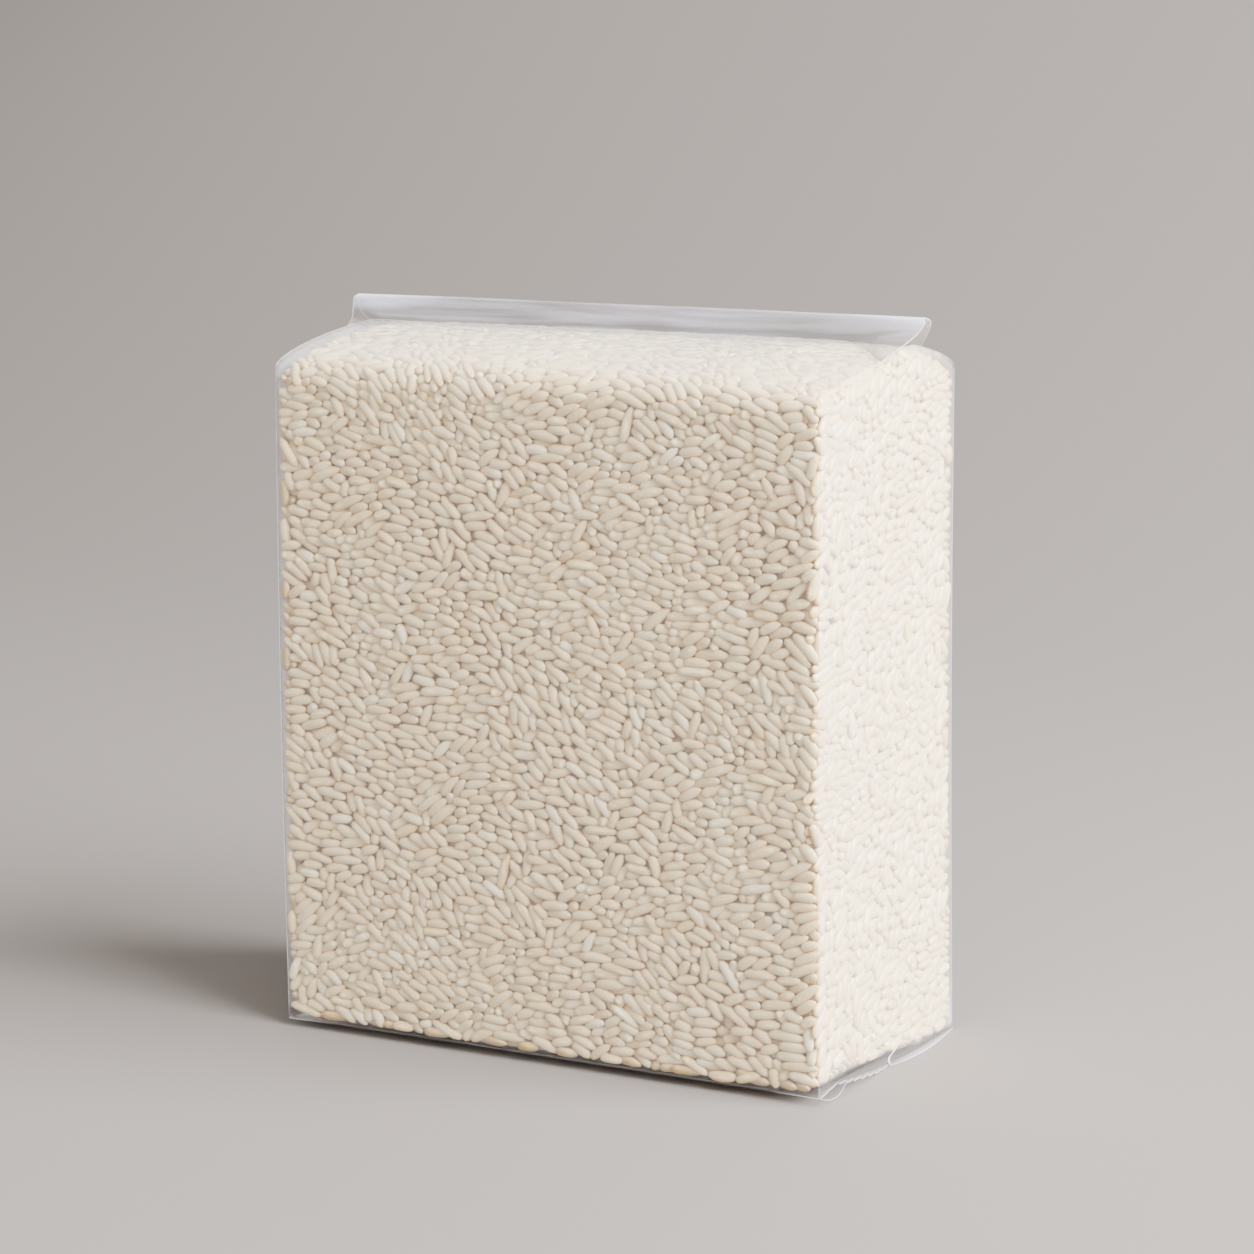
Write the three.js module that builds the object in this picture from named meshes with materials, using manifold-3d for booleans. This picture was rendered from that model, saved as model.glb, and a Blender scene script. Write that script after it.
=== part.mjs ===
// A one kilogram brick of white rice, packed under vacuum in a clear side-gusset bag.
// The bag stands on its folded base. A welded fin of film runs along its domed top.
// Film and rice are one solid here: its faces lie where the film lies, and they carry
// bumps of about the size of a grain, pressed in between crisp film edges.
//
// Units are millimetres and Z is up. X runs along the wide front, which faces -Y.
// The origin is in the rest face, under the middle of the brick.

import * as THREE from "three";
import { mergeVertices } from "three/addons/utils/BufferGeometryUtils.js";
import Module from "manifold-3d";

// Brick: the four film walls, which bow a little to the left at half height
const WIDTH = 126.8;
const DEPTH_TOP = 61.5;
const DEPTH_BASE = 63.4;
const HEM_Z = 2;
const SHOULDER_Z = 142;
const WALL_BULGE = 0.5;
const BOW = 0.45;

// Bare film skirt below the lowest grains, which dips to the floor at both gussets
const SKIRT_HEIGHT = 2;
const GUSSET_DIP = 1.7;
const GUSSET_DIP_FROM = -20;
const GUSSET_DIP_TO = 8;
const GUSSET_DIP_FADE = 18;

// Folded base that the brick stands on
const PAD_WIDTH = 104;
const PAD_DEPTH = 46;
const PAD_STEPS = 6;

// Domed top, highest along a ridge that runs a little askew and behind the middle
const RIDGE_RISE = 6.3;
const RIDGE_Y_LEFT = 5.6;
const RIDGE_Y_RIGHT = 10.4;
const DOME_ROUNDNESS = 0.57;
const CREASE_ROUNDNESS = 0.8;
const CREASE_REACH = 26;
const SHOULDER_MARGIN = 1.5;

// Welded fin, whose two layers open towards its ends
const FIN_HEIGHT = 5.7;
const FIN_ROOT = 1.6;
const FIN_OVERHANG = 3.5;
const FIN_THICKNESS = 0.7;
const FIN_WAIST = 0.55;
const FIN_BELLY = 0.5;
const FIN_LEAN = 0.8;
const FIN_WAVE = 0.35;
const FIN_WAVE_LENGTH = 58;
const FIN_STEPS = 28;
const FIN_END_REACH = 24;
const FIN_OPEN_LEFT = 2.2;
const FIN_OPEN_RIGHT = 4.2;
const FIN_CUT_LEFT = 1.4;
const FIN_CUT_RIGHT = 4.4;

// Grain bumps: each is a low pyramid, two lattice cells long and two cells high
const FRONT_CELLS = 27;
const SIDE_CELLS = 13;
const WALL_ROWS = 58;
const ROOF_ROWS = 26;
const GRAIN_RELIEF = 1.15;
const RELIEF_SPREAD = 0.35;
const SLIP_ALONG = 1.1;
const SLIP_ACROSS = 0.5;
const SEED = 20731;

const SIDES = 4;
const WALL_COLUMNS = 2 * (FRONT_CELLS + SIDE_CELLS);

const wasm = await Module();
wasm.setup();

// Seeded draws between -1 and 1, the same on every run
function makeDraw(seed) {
  let state = seed;
  return () => {
    state = (state + 0x6d2b79f5) | 0;
    let mixed = Math.imul(state ^ (state >>> 15), 1 | state);
    mixed = (mixed + Math.imul(mixed ^ (mixed >>> 7), 61 | mixed)) ^ mixed;
    return ((mixed ^ (mixed >>> 14)) >>> 0) / 2 ** 31 - 1;
  };
}

const draw = makeDraw(SEED);

// Forms of the film

function halfDepth(z) {
  const climb = (z - HEM_Z) / (SHOULDER_Z - HEM_Z);
  return THREE.MathUtils.lerp(DEPTH_BASE, DEPTH_TOP, climb) / 2;
}

function ridgeY(x) {
  return THREE.MathUtils.mapLinear(x, -WIDTH / 2, WIDTH / 2, RIDGE_Y_LEFT, RIDGE_Y_RIGHT);
}

// Height of the film over the shoulders: a full dome, which flattens to a straight
// crease in front of the ridge at the right-hand gusset
function roofRise(x, y) {
  const toRidge = y - ridgeY(x);
  const reach = DEPTH_TOP / 2 - Math.sign(toRidge) * ridgeY(x);
  const away = Math.min(1, Math.abs(toRidge) / reach);
  const dome = (1 - away ** 2) ** DOME_ROUNDNESS;
  if (toRidge > 0) return RIDGE_RISE * dome;
  const crease = (1 - away) ** CREASE_ROUNDNESS;
  const nearGusset = THREE.MathUtils.smoothstep(x, WIDTH / 2 - CREASE_REACH, WIDTH / 2);
  return RIDGE_RISE * THREE.MathUtils.lerp(dome, crease, nearGusset);
}

// Lower edge of the film skirt
function hemHeight(x, y) {
  const nearGusset = THREE.MathUtils.smoothstep(
    Math.abs(x),
    WIDTH / 2 - GUSSET_DIP_FADE,
    WIDTH / 2,
  );
  const toBack = THREE.MathUtils.smoothstep(y, GUSSET_DIP_FROM, GUSSET_DIP_TO);
  return HEM_Z - GUSSET_DIP * nearGusset * toBack;
}

// A point of the walls' plan: side 0 is the front, 1 the right, 2 the back, 3 the left
function planPoint(side, along, z) {
  const x = WIDTH / 2;
  const y = halfDepth(z);
  const corners = [
    [-x, -y],
    [x, -y],
    [x, y],
    [-x, y],
  ];
  const [fromX, fromY] = corners[side];
  const [toX, toY] = corners[(side + 1) % SIDES];
  return new THREE.Vector2(
    THREE.MathUtils.lerp(fromX, toX, along),
    THREE.MathUtils.lerp(fromY, toY, along),
  );
}

function outward(side) {
  const quarterTurns = side - 1;
  return new THREE.Vector2(1, 0).rotateAround(new THREE.Vector2(), (quarterTurns * Math.PI) / 2);
}

// How deep one lattice point of the bumps lies: a crest near the film, or a gap
function grainDepth(column, row) {
  const isCrest = (column + row) % 2 === 0;
  const spread = RELIEF_SPREAD * Math.abs(draw());
  return isCrest ? spread : GRAIN_RELIEF + spread;
}

// A closed body that is built up lattice by lattice
class Shell {
  constructor() {
    this.points = [];
    this.faces = [];
  }

  point(x, y, z) {
    this.points.push(x, y, z);
    return this.points.length / 3 - 1;
  }

  // A lattice cell, split along its gaps so that each crest stands as a pyramid
  cell([a, b, c, d], crestFirst) {
    if (crestFirst) this.faces.push(a, b, d, b, c, d);
    else this.faces.push(a, b, c, a, c, d);
  }

  // A band between two closed rings of { index, turn }, where turn goes from 0 to 4
  // round the sides. Its faces look to the right of the way that the outer ring runs.
  band(outer, inner) {
    const turnAfter = (ring, k) => (k + 1 < ring.length ? ring[k + 1].turn : SIDES);
    const at = (ring, k) => ring[k % ring.length].index;
    let i = 0;
    let j = 0;
    while (i < outer.length || j < inner.length) {
      const outerIsNext = turnAfter(outer, i) <= turnAfter(inner, j);
      if (j >= inner.length || (i < outer.length && outerIsNext)) {
        this.faces.push(at(outer, i), at(outer, i + 1), at(inner, j));
        i += 1;
      } else {
        this.faces.push(at(outer, i), at(inner, j + 1), at(inner, j));
        j += 1;
      }
    }
  }

  // The same band, facing the other way
  bandBelow(upper, lower) {
    const from = this.faces.length;
    this.band(upper, lower);
    for (let k = from; k < this.faces.length; k += 3) {
      [this.faces[k + 1], this.faces[k + 2]] = [this.faces[k + 2], this.faces[k + 1]];
    }
  }

  geometry() {
    const body = new THREE.BufferGeometry();
    body.setAttribute("position", new THREE.Float32BufferAttribute(this.points, 3));
    body.setIndex(this.faces);
    return body;
  }
}

// The wall column's side, and its place along that side from 0 to 1
function wallColumn(column) {
  const starts = [0, FRONT_CELLS, FRONT_CELLS + SIDE_CELLS, 2 * FRONT_CELLS + SIDE_CELLS];
  const side = starts.findLastIndex((start) => column >= start);
  const cells = side % 2 === 0 ? FRONT_CELLS : SIDE_CELLS;
  return { side, along: (column - starts[side]) / cells };
}

// One ring of the walls, with bumps on every column but the four film edges
function wallRing(shell, row) {
  const ring = [];
  const climb = row / WALL_ROWS;
  const belly = Math.sin(Math.PI * climb);
  for (let column = 0; column < WALL_COLUMNS; column += 1) {
    const { side, along } = wallColumn(column);
    const isWide = side % 2 === 0;
    const isBare = along === 0 || row === 0 || row === WALL_ROWS;
    const slip = isBare ? 0 : (SLIP_ALONG * draw()) / (isWide ? WIDTH : DEPTH_TOP);
    const lift = isBare ? 0 : SLIP_ACROSS * draw();
    const depth = isBare ? 0 : grainDepth(column, row);
    const foot = planPoint(side, along, HEM_Z);
    const head = planPoint(side, along, SHOULDER_Z);
    const low = hemHeight(foot.x, foot.y) + SKIRT_HEIGHT;
    const high = SHOULDER_Z + (isWide ? 0 : roofRise(head.x, head.y));
    const z = THREE.MathUtils.lerp(low, high, climb) + lift;
    const bulge = WALL_BULGE * belly * Math.sin(Math.PI * along) * (isWide ? 1 : -1);
    const plan = planPoint(side, along + slip, z).addScaledVector(outward(side), bulge - depth);
    ring.push({ index: shell.point(plan.x - BOW * belly, plan.y, z), turn: side + along });
  }
  return ring;
}

// The four walls, from just above the skirt up to the shoulder edges
function addWalls(shell) {
  const rings = [];
  for (let row = 0; row <= WALL_ROWS; row += 1) rings.push(wallRing(shell, row));
  for (let row = 0; row < WALL_ROWS; row += 1) {
    const lower = rings[row];
    const upper = rings[row + 1];
    for (let column = 0; column < WALL_COLUMNS; column += 1) {
      const next = (column + 1) % WALL_COLUMNS;
      const corners = [lower[column], lower[next], upper[next], upper[column]];
      shell.cell(corners.map(({ index }) => index), (column + row) % 2 === 0);
    }
  }
  return { foot: rings[0], head: rings[WALL_ROWS] };
}

// The domed top, a lattice of its own inside the shoulder edges
function addRoof(shell, shoulder) {
  const halfX = WIDTH / 2 - SHOULDER_MARGIN;
  const halfY = DEPTH_TOP / 2 - SHOULDER_MARGIN;
  const grid = [];
  for (let row = 0; row <= ROOF_ROWS; row += 1) {
    const line = [];
    for (let column = 0; column <= FRONT_CELLS; column += 1) {
      const isRim = row % ROOF_ROWS === 0 || column % FRONT_CELLS === 0;
      const slipX = isRim ? 0 : SLIP_ALONG * draw();
      const slipY = isRim ? 0 : SLIP_ACROSS * draw();
      const x = THREE.MathUtils.lerp(-halfX, halfX, column / FRONT_CELLS) + slipX;
      const y = THREE.MathUtils.lerp(-halfY, halfY, row / ROOF_ROWS) + slipY;
      const depth = isRim ? 0 : grainDepth(column, row);
      line.push(shell.point(x, y, SHOULDER_Z + roofRise(x, y) - depth));
    }
    grid.push(line);
  }
  for (let row = 0; row < ROOF_ROWS; row += 1) {
    for (let column = 0; column < FRONT_CELLS; column += 1) {
      const near = grid[row].slice(column, column + 2);
      const far = grid[row + 1].slice(column, column + 2).reverse();
      shell.cell([...near, ...far], (column + row) % 2 === 0);
    }
  }
  const edges = [
    grid[0],
    grid.map((line) => line[FRONT_CELLS]),
    grid[ROOF_ROWS].toReversed(),
    grid.map((line) => line[0]).toReversed(),
  ];
  const rim = edges.flatMap((edge, side) => {
    const steps = edge.length - 1;
    return edge.slice(0, steps).map((index, k) => ({ index, turn: side + k / steps }));
  });
  shell.band(shoulder, rim);
}

// The bare film skirt, the slope under it and the flat pad that the brick rests on
function addBase(shell, lowestGrains) {
  const hem = lowestGrains.map(({ turn }) => {
    const side = Math.floor(turn);
    const plan = planPoint(side, turn - side, HEM_Z);
    return { index: shell.point(plan.x, plan.y, hemHeight(plan.x, plan.y)), turn };
  });
  const outline = [];
  const pad = [];
  for (let step = 0; step < SIDES * PAD_STEPS; step += 1) {
    const turn = step / PAD_STEPS;
    const side = Math.floor(turn);
    const corner = planPoint(side, turn - side, HEM_Z);
    corner.multiply(new THREE.Vector2(PAD_WIDTH / WIDTH, PAD_DEPTH / DEPTH_BASE));
    outline.push(corner);
    pad.push({ index: shell.point(corner.x, corner.y, 0), turn });
  }
  shell.bandBelow(lowestGrains, hem);
  shell.bandBelow(hem, pad);
  THREE.ShapeUtils.triangulateShape(outline, []).forEach(([a, b, c]) => {
    shell.faces.push(pad[a].index, pad[c].index, pad[b].index);
  });
}

function brickGeometry() {
  const shell = new Shell();
  const { foot, head } = addWalls(shell);
  addRoof(shell, head);
  addBase(shell, foot);
  return shell.geometry();
}

// One upright section of the fin, as six points round it
function finSection(x) {
  const isRight = x > 0;
  const past = Math.max(0, Math.abs(x) - WIDTH / 2) / FIN_OVERHANG;
  const toEnd = THREE.MathUtils.smoothstep(Math.abs(x), WIDTH / 2 - FIN_END_REACH, WIDTH / 2);
  const opening = (isRight ? FIN_OPEN_RIGHT : FIN_OPEN_LEFT) * toEnd * (1 - past / 2);
  const top = SHOULDER_Z + RIDGE_RISE + FIN_HEIGHT;
  const cut = FIN_ROOT + (isRight ? FIN_CUT_RIGHT : FIN_CUT_LEFT);
  const low = SHOULDER_Z + RIDGE_RISE - FIN_ROOT + past * cut;
  const wave = FIN_WAVE * Math.sin((2 * Math.PI * x) / FIN_WAVE_LENGTH);
  const pair = (share, width) => {
    const y = ridgeY(x) + share * (FIN_LEAN + wave);
    const z = THREE.MathUtils.lerp(low, top, share);
    return [new THREE.Vector3(x, y - width / 2, z), new THREE.Vector3(x, y + width / 2, z)];
  };
  const foot = pair(0, FIN_THICKNESS + opening);
  const waist = pair(FIN_WAIST, FIN_THICKNESS + FIN_BELLY * opening);
  const head = pair(1, FIN_THICKNESS);
  return [foot[0], waist[0], head[0], head[1], waist[1], foot[1]];
}

function finGeometry() {
  const shell = new Shell();
  const reach = WIDTH / 2 + FIN_OVERHANG;
  const rings = [];
  for (let step = 0; step <= FIN_STEPS; step += 1) {
    const x = THREE.MathUtils.lerp(-reach, reach, step / FIN_STEPS);
    rings.push(finSection(x).map((p) => shell.point(p.x, p.y, p.z)));
  }
  for (let step = 0; step < FIN_STEPS; step += 1) {
    const here = rings[step];
    const there = rings[step + 1];
    here.forEach((index, k) => {
      const next = (k + 1) % here.length;
      shell.cell([index, there[k], there[next], here[next]], false);
    });
  }
  const first = rings[0];
  const last = rings[FIN_STEPS];
  for (let k = 1; k < first.length - 1; k += 1) {
    shell.faces.push(first[0], first[k], first[k + 1]);
    shell.faces.push(last[0], last[k + 1], last[k]);
  }
  return shell.geometry();
}

// Joining brick and fin into one closed body

function toSolid(geometry) {
  const merged = mergeVertices(geometry, 1e-4);
  return new wasm.Manifold(
    new wasm.Mesh({
      numProp: 3,
      vertProperties: merged.attributes.position.array,
      triVerts: new Uint32Array(merged.index.array),
    }),
  );
}

function toGeometry(solid) {
  const { vertProperties, triVerts } = solid.getMesh();
  const geometry = new THREE.BufferGeometry();
  geometry.setAttribute("position", new THREE.BufferAttribute(vertProperties, 3));
  geometry.setIndex(new THREE.BufferAttribute(triVerts, 1));
  geometry.computeVertexNormals();
  return geometry;
}

// White rice seen through clear, glossy film
const riceUnderFilm = new THREE.MeshStandardMaterial({
  color: 0xe9e3d6,
  roughness: 0.35,
  metalness: 0,
  flatShading: true,
});

const bagSolid = toSolid(brickGeometry()).add(toSolid(finGeometry()));
const bag = new THREE.Mesh(toGeometry(bagSolid), riceUnderFilm);
bag.name = "rice_bag";

const group = new THREE.Group();
group.add(bag);

export default group;
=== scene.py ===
"""A one kilogram brick of white rice under vacuum in a clear film bag.

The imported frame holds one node, rice_bag. Here it is replaced with what the real pack is
made of: single grains pressed against the film, a core behind them, the draped film skin
with its pressed edges, the welded fin along the domed top and the folded film of the base.
Sizes are in millimetres until a mesh is written, which is in metres.
"""

import logging
import math
from dataclasses import dataclass
from enum import Enum

import bmesh
import bpy
import numpy as np
from mathutils import Matrix, Vector


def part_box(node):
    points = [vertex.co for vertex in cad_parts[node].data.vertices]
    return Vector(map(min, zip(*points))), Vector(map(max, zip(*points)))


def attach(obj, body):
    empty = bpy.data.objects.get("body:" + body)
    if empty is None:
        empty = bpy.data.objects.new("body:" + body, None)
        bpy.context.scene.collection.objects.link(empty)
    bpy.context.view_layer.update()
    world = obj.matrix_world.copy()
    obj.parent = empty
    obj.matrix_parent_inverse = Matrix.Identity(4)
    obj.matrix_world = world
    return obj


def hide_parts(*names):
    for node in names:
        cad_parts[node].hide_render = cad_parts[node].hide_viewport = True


logging.basicConfig(level=logging.INFO, format="%(message)s")
log = logging.getLogger("rice_bag")

MM = 0.001
NODE = "rice_bag"
BODY = "root"
TINY = 1e-9
# Beyond this share a point counts as lying on the end of a sheet or box
AT_END = 0.9999
# An edge runs along an axis if this share of its length does
ALONG_AXIS = 0.9

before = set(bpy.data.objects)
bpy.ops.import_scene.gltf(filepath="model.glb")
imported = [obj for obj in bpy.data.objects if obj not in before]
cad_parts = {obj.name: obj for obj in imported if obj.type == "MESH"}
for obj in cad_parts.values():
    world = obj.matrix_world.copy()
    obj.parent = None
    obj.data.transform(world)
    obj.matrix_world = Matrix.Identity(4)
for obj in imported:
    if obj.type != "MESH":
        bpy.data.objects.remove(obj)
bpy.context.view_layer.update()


# Small tools

def srgb(code: str, alpha: float = 1.0) -> tuple[float, float, float, float]:
    """Turns an sRGB hex colour to linear.

    Args:
        code: six hex digits.
        alpha: the fourth value.

    Returns:
        Linear red, green, blue and alpha.
    """
    parts = [int(code[k:k + 2], 16) / 255 for k in (0, 2, 4)]
    red, green, blue = (p / 12.92 if p <= 0.04045 else ((p + 0.055) / 1.055) ** 2.4 for p in parts)
    return red, green, blue, alpha


def add_node(tree: bpy.types.NodeTree, kind: str, inputs: dict | None = None,
             **settings: object) -> bpy.types.Node:
    """Adds a node with its settings and links.

    Args:
        tree: the node tree.
        kind: the node's type name.
        inputs: socket name or number, to a plain value or the output socket to link.
        settings: properties of the node.

    Returns:
        The node.
    """
    node = tree.nodes.new(kind)
    for name, value in settings.items():
        setattr(node, name, value)
    for name, value in (inputs or {}).items():
        if isinstance(value, bpy.types.NodeSocket):
            tree.links.new(value, node.inputs[name])
        else:
            node.inputs[name].default_value = value
    return node


def new_material(name: str) -> tuple[bpy.types.Material, bpy.types.NodeTree, bpy.types.Node]:
    """Starts an empty node material.

    Args:
        name: the material's name.

    Returns:
        The material, its tree and its output node.
    """
    material = bpy.data.materials.new(name)
    material.use_nodes = True
    material.node_tree.nodes.clear()
    output = add_node(material.node_tree, "ShaderNodeOutputMaterial")
    return material, material.node_tree, output


def deselect() -> None:
    """Leaves object mode with nothing selected."""
    if bpy.context.mode != "OBJECT":
        bpy.ops.object.mode_set(mode="OBJECT")
    bpy.ops.object.select_all(action="DESELECT")


def smoothstep(value: np.ndarray, start: float, end: float) -> np.ndarray:
    """Eases from 0 at start to 1 at end."""
    share = np.clip((value - start) / (end - start), 0.0, 1.0)
    return share * share * (3.0 - 2.0 * share)


def read_points(obj: bpy.types.Object) -> np.ndarray:
    """Reads a mesh's vertices in millimetres."""
    flat = np.empty(len(obj.data.vertices) * 3)
    obj.data.vertices.foreach_get("co", flat)
    return flat.reshape(-1, 3) / MM


def write_points(obj: bpy.types.Object, points: np.ndarray) -> None:
    """Writes a mesh's vertices, given in millimetres."""
    obj.data.vertices.foreach_set("co", (points * MM).ravel())
    obj.data.update()


def mesh_object(name: str, points: np.ndarray, corners: np.ndarray,
                sizes: np.ndarray) -> bpy.types.Object:
    """Makes an object from arrays of points and polygons.

    Args:
        name: the object's name.
        points: vertices in millimetres.
        corners: vertex number of every polygon corner.
        sizes: number of corners of each polygon.

    Returns:
        The new object, smooth shaded.
    """
    mesh = bpy.data.meshes.new(name)
    mesh.vertices.add(len(points))
    mesh.vertices.foreach_set("co", (points * MM).ravel())
    mesh.loops.add(len(corners))
    mesh.loops.foreach_set("vertex_index", corners)
    mesh.polygons.add(len(sizes))
    mesh.polygons.foreach_set("loop_start", np.cumsum(sizes) - sizes)
    mesh.polygons.foreach_set("use_smooth", np.ones(len(sizes), dtype=bool))
    mesh.update(calc_edges=True)
    obj = bpy.data.objects.new(name, mesh)
    bpy.context.collection.objects.link(obj)
    return obj


def apply_modifier(obj: bpy.types.Object, kind: str, **settings: object) -> None:
    """Adds a modifier to an object and applies it."""
    deselect()
    obj.select_set(True)
    bpy.context.view_layer.objects.active = obj
    modifier = obj.modifiers.new(kind.title(), kind)
    for name, value in settings.items():
        setattr(modifier, name, value)
    bpy.ops.object.modifier_apply(modifier=modifier.name)


def finish_piece(obj: bpy.types.Object, material: bpy.types.Material, what: str) -> None:
    """Dresses a piece, ties it to the bag's body and reports it.

    Args:
        obj: the piece.
        material: its finish.
        what: words for the log.
    """
    obj.data.materials.clear()
    obj.data.materials.append(material)
    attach(obj, BODY)
    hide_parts(NODE)
    log.info("%s: %s, %d faces", obj.name, what, len(obj.data.polygons))


# Form of the bag

def round_corner(past: np.ndarray, radius: float | np.ndarray) -> tuple[np.ndarray, np.ndarray]:
    """Distance from two walls that meet in a rounded corner.

    Args:
        past: how far each point lies past each of the two walls.
        radius: radius of the corner, one for all points or one for each.

    Returns:
        Signed distances, and the share of each wall's direction in the way out.
    """
    past = past + np.reshape(radius, (-1, 1))
    beyond = np.maximum(past, 0.0)
    length = np.linalg.norm(beyond, axis=1)
    nearest = np.eye(2)[past.argmax(1)]
    way = np.where((length > TINY)[:, None], beyond / np.maximum(length, TINY)[:, None], nearest)
    return length + np.minimum(past.max(1), 0.0) - radius, way


@dataclass(frozen=True)
class BagForm:
    """The forms of film and rice, worked out from the CAD box and the bag's own sizes."""

    box_low: Vector
    box_high: Vector
    fin_overhang: float = 3.5
    fin_height: float = 5.7
    ridge_rise: float = 6.3
    ridge_y_left: float = 5.6
    ridge_y_right: float = 10.4
    dome_roundness: float = 0.57
    crease_roundness: float = 0.8
    crease_reach: float = 26.0
    back_crease: float = 0.7
    left_crease: float = 0.3
    hem_z: float = 2.0
    skirt_height: float = 0.35
    tuck_height: float = 1.6
    tuck_reach: float = 5.0
    tuck_from: float = 4.0
    tuck_to: float = 18.0
    gusset_dip: float = 1.7
    gusset_dip_from: float = -20.0
    gusset_dip_to: float = 8.0
    gusset_dip_fade: float = 18.0
    taper: float = 1.9
    wall_swell: float = 0.19
    wall_bulge: float = 0.5
    bow: float = 0.45
    film_gap: float = 0.1
    roof_gap: float = 0.3
    roof_margin: float = 1.0
    wall_power: int = 8
    ear_from: float = 5.0
    ear_to: float = 0.5
    shoulder_round: float = 4.2
    ear_round_left: float = 4.8
    ear_round_right: float = 4.0
    crease_round: float = 0.45
    soft_crease_round: float = 2.0
    foot_round: float = 0.8
    base_lift: float = 0.2
    base_slope: float = 9.0

    @property
    def width(self) -> float:
        """Film wall to film wall across the front."""
        return (self.box_high.x - self.box_low.x) / MM - 2 * self.fin_overhang

    @property
    def depth_base(self) -> float:
        """Front to back at the hem."""
        return (self.box_high.y - self.box_low.y) / MM - self.wall_swell

    @property
    def depth_top(self) -> float:
        """Front to back at the shoulders."""
        return self.depth_base - self.taper

    @property
    def shoulder_z(self) -> float:
        """Height of the shoulder edges."""
        return self.box_high.z / MM - self.fin_height - self.ridge_rise

    def climb(self, z: np.ndarray) -> np.ndarray:
        """Share of the way from hem to shoulder."""
        return np.clip((z - self.hem_z) / (self.shoulder_z - self.hem_z), 0.0, 1.0)

    def ridge_y(self, x: np.ndarray) -> np.ndarray:
        """Where the top's ridge runs, a little askew."""
        share = x / self.width + 0.5
        return self.ridge_y_left + (self.ridge_y_right - self.ridge_y_left) * share

    def roof_rise(self, x: np.ndarray, y: np.ndarray) -> np.ndarray:
        """Height of the film over the shoulders.

        Args:
            x: places across the front.
            y: places from front to back.

        Returns:
            The dome's height, flattened to a straight crease by the gussets, most at the right front.
        """
        ridge = self.ridge_y(x)
        reach = self.depth_top / 2 - np.sign(y - ridge) * ridge
        away = np.minimum(1.0, np.abs(y - ridge) / reach)
        dome = (1.0 - away**2) ** self.dome_roundness
        crease = (1.0 - away) ** self.crease_roundness
        gusset = smoothstep(x, self.width / 2 - self.crease_reach, self.width / 2)
        gusset = np.where(y > ridge, self.back_crease * gusset, gusset)
        gusset += self.left_crease * smoothstep(-x, self.width / 2 - self.crease_reach, self.width / 2)
        return self.ridge_rise * (dome + (crease - dome) * gusset)

    def hem_height(self, x: np.ndarray, y: np.ndarray) -> np.ndarray:
        """Height of the film's lower edge, which dips to the floor at the gussets."""
        side = smoothstep(np.abs(x), self.width / 2 - self.gusset_dip_fade, self.width / 2)
        back = smoothstep(y, self.gusset_dip_from, self.gusset_dip_to)
        return self.hem_z - self.gusset_dip * side * back

    def tuck(self, x: np.ndarray, y: np.ndarray) -> np.ndarray:
        """How far the gussets' folded film holds the rice up at the sides."""
        side = smoothstep(np.abs(x), self.width / 2 - self.tuck_reach, self.width / 2)
        return self.tuck_height * side * (1 - smoothstep(y, self.tuck_from, self.tuck_to))

    def half_sizes(self, x: np.ndarray, y: np.ndarray, z: np.ndarray) -> tuple[np.ndarray, np.ndarray]:
        """Half width and half depth of the film walls at a place.

        Args:
            x: places across the front.
            y: places from front to back.
            z: heights.

        Returns:
            Half width, which narrows at half height, and half depth, which swells there.
        """
        climb = self.climb(z)
        belly = self.wall_bulge * np.sin(math.pi * climb)
        across = np.cos(math.pi * np.clip(x / self.width, -0.5, 0.5))
        along = np.cos(math.pi * np.clip(y / self.depth_base, -0.5, 0.5))
        half_x = self.width / 2 - belly * along
        half_y = (self.depth_base - self.taper * climb) / 2 + belly * across
        return half_x, half_y

    def bow_shift(self, z: np.ndarray) -> np.ndarray:
        """How far the pack bows to the left at half height."""
        return -self.bow * np.sin(math.pi * self.climb(z))

    def rice_distance(self, points: np.ndarray) -> tuple[np.ndarray, np.ndarray]:
        """Distance of points from the rounded limit of the rice, and the way out.

        Args:
            points: places in millimetres.

        Returns:
            Signed distances, negative inside, and unit vectors pointing out.
        """
        x, y, z = points.T
        x = x - self.bow_shift(z)
        half_x, half_y = self.half_sizes(x, y, z)
        limit_x = self.width / 2 - self.roof_margin
        limit_y = self.depth_top / 2 - self.roof_margin
        rise = self.roof_rise(np.clip(x, -limit_x, limit_x), np.clip(y, -limit_y, limit_y))
        top = self.shoulder_z + rise - self.roof_gap
        bottom = self.hem_height(x, y) + self.skirt_height + self.tuck(x, y)
        middle, half_z = (top + bottom) / 2, (top - bottom) / 2
        plan = np.stack([np.abs(x) - half_x, np.abs(y) - half_y], 1) + self.film_gap
        is_soft = (x > 0) & (y < 0)
        across, across_way = round_corner(plan, np.where(is_soft, self.soft_crease_round, self.crease_round))
        above = np.abs(z - middle) - half_z
        ear_round = np.where(x < 0, self.ear_round_left, self.ear_round_right)
        edge_round = self.shoulder_round + (ear_round - self.shoulder_round) * across_way[:, 0]
        edge_round = np.where(z > middle, edge_round, self.foot_round)
        distance, way = round_corner(np.stack([across, above], 1), edge_round)
        way_out = np.stack([way[:, 0] * across_way[:, 0], way[:, 0] * across_way[:, 1], way[:, 1]], 1)
        return distance, way_out * np.sign(np.stack([x, y, z - middle], 1))

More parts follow.
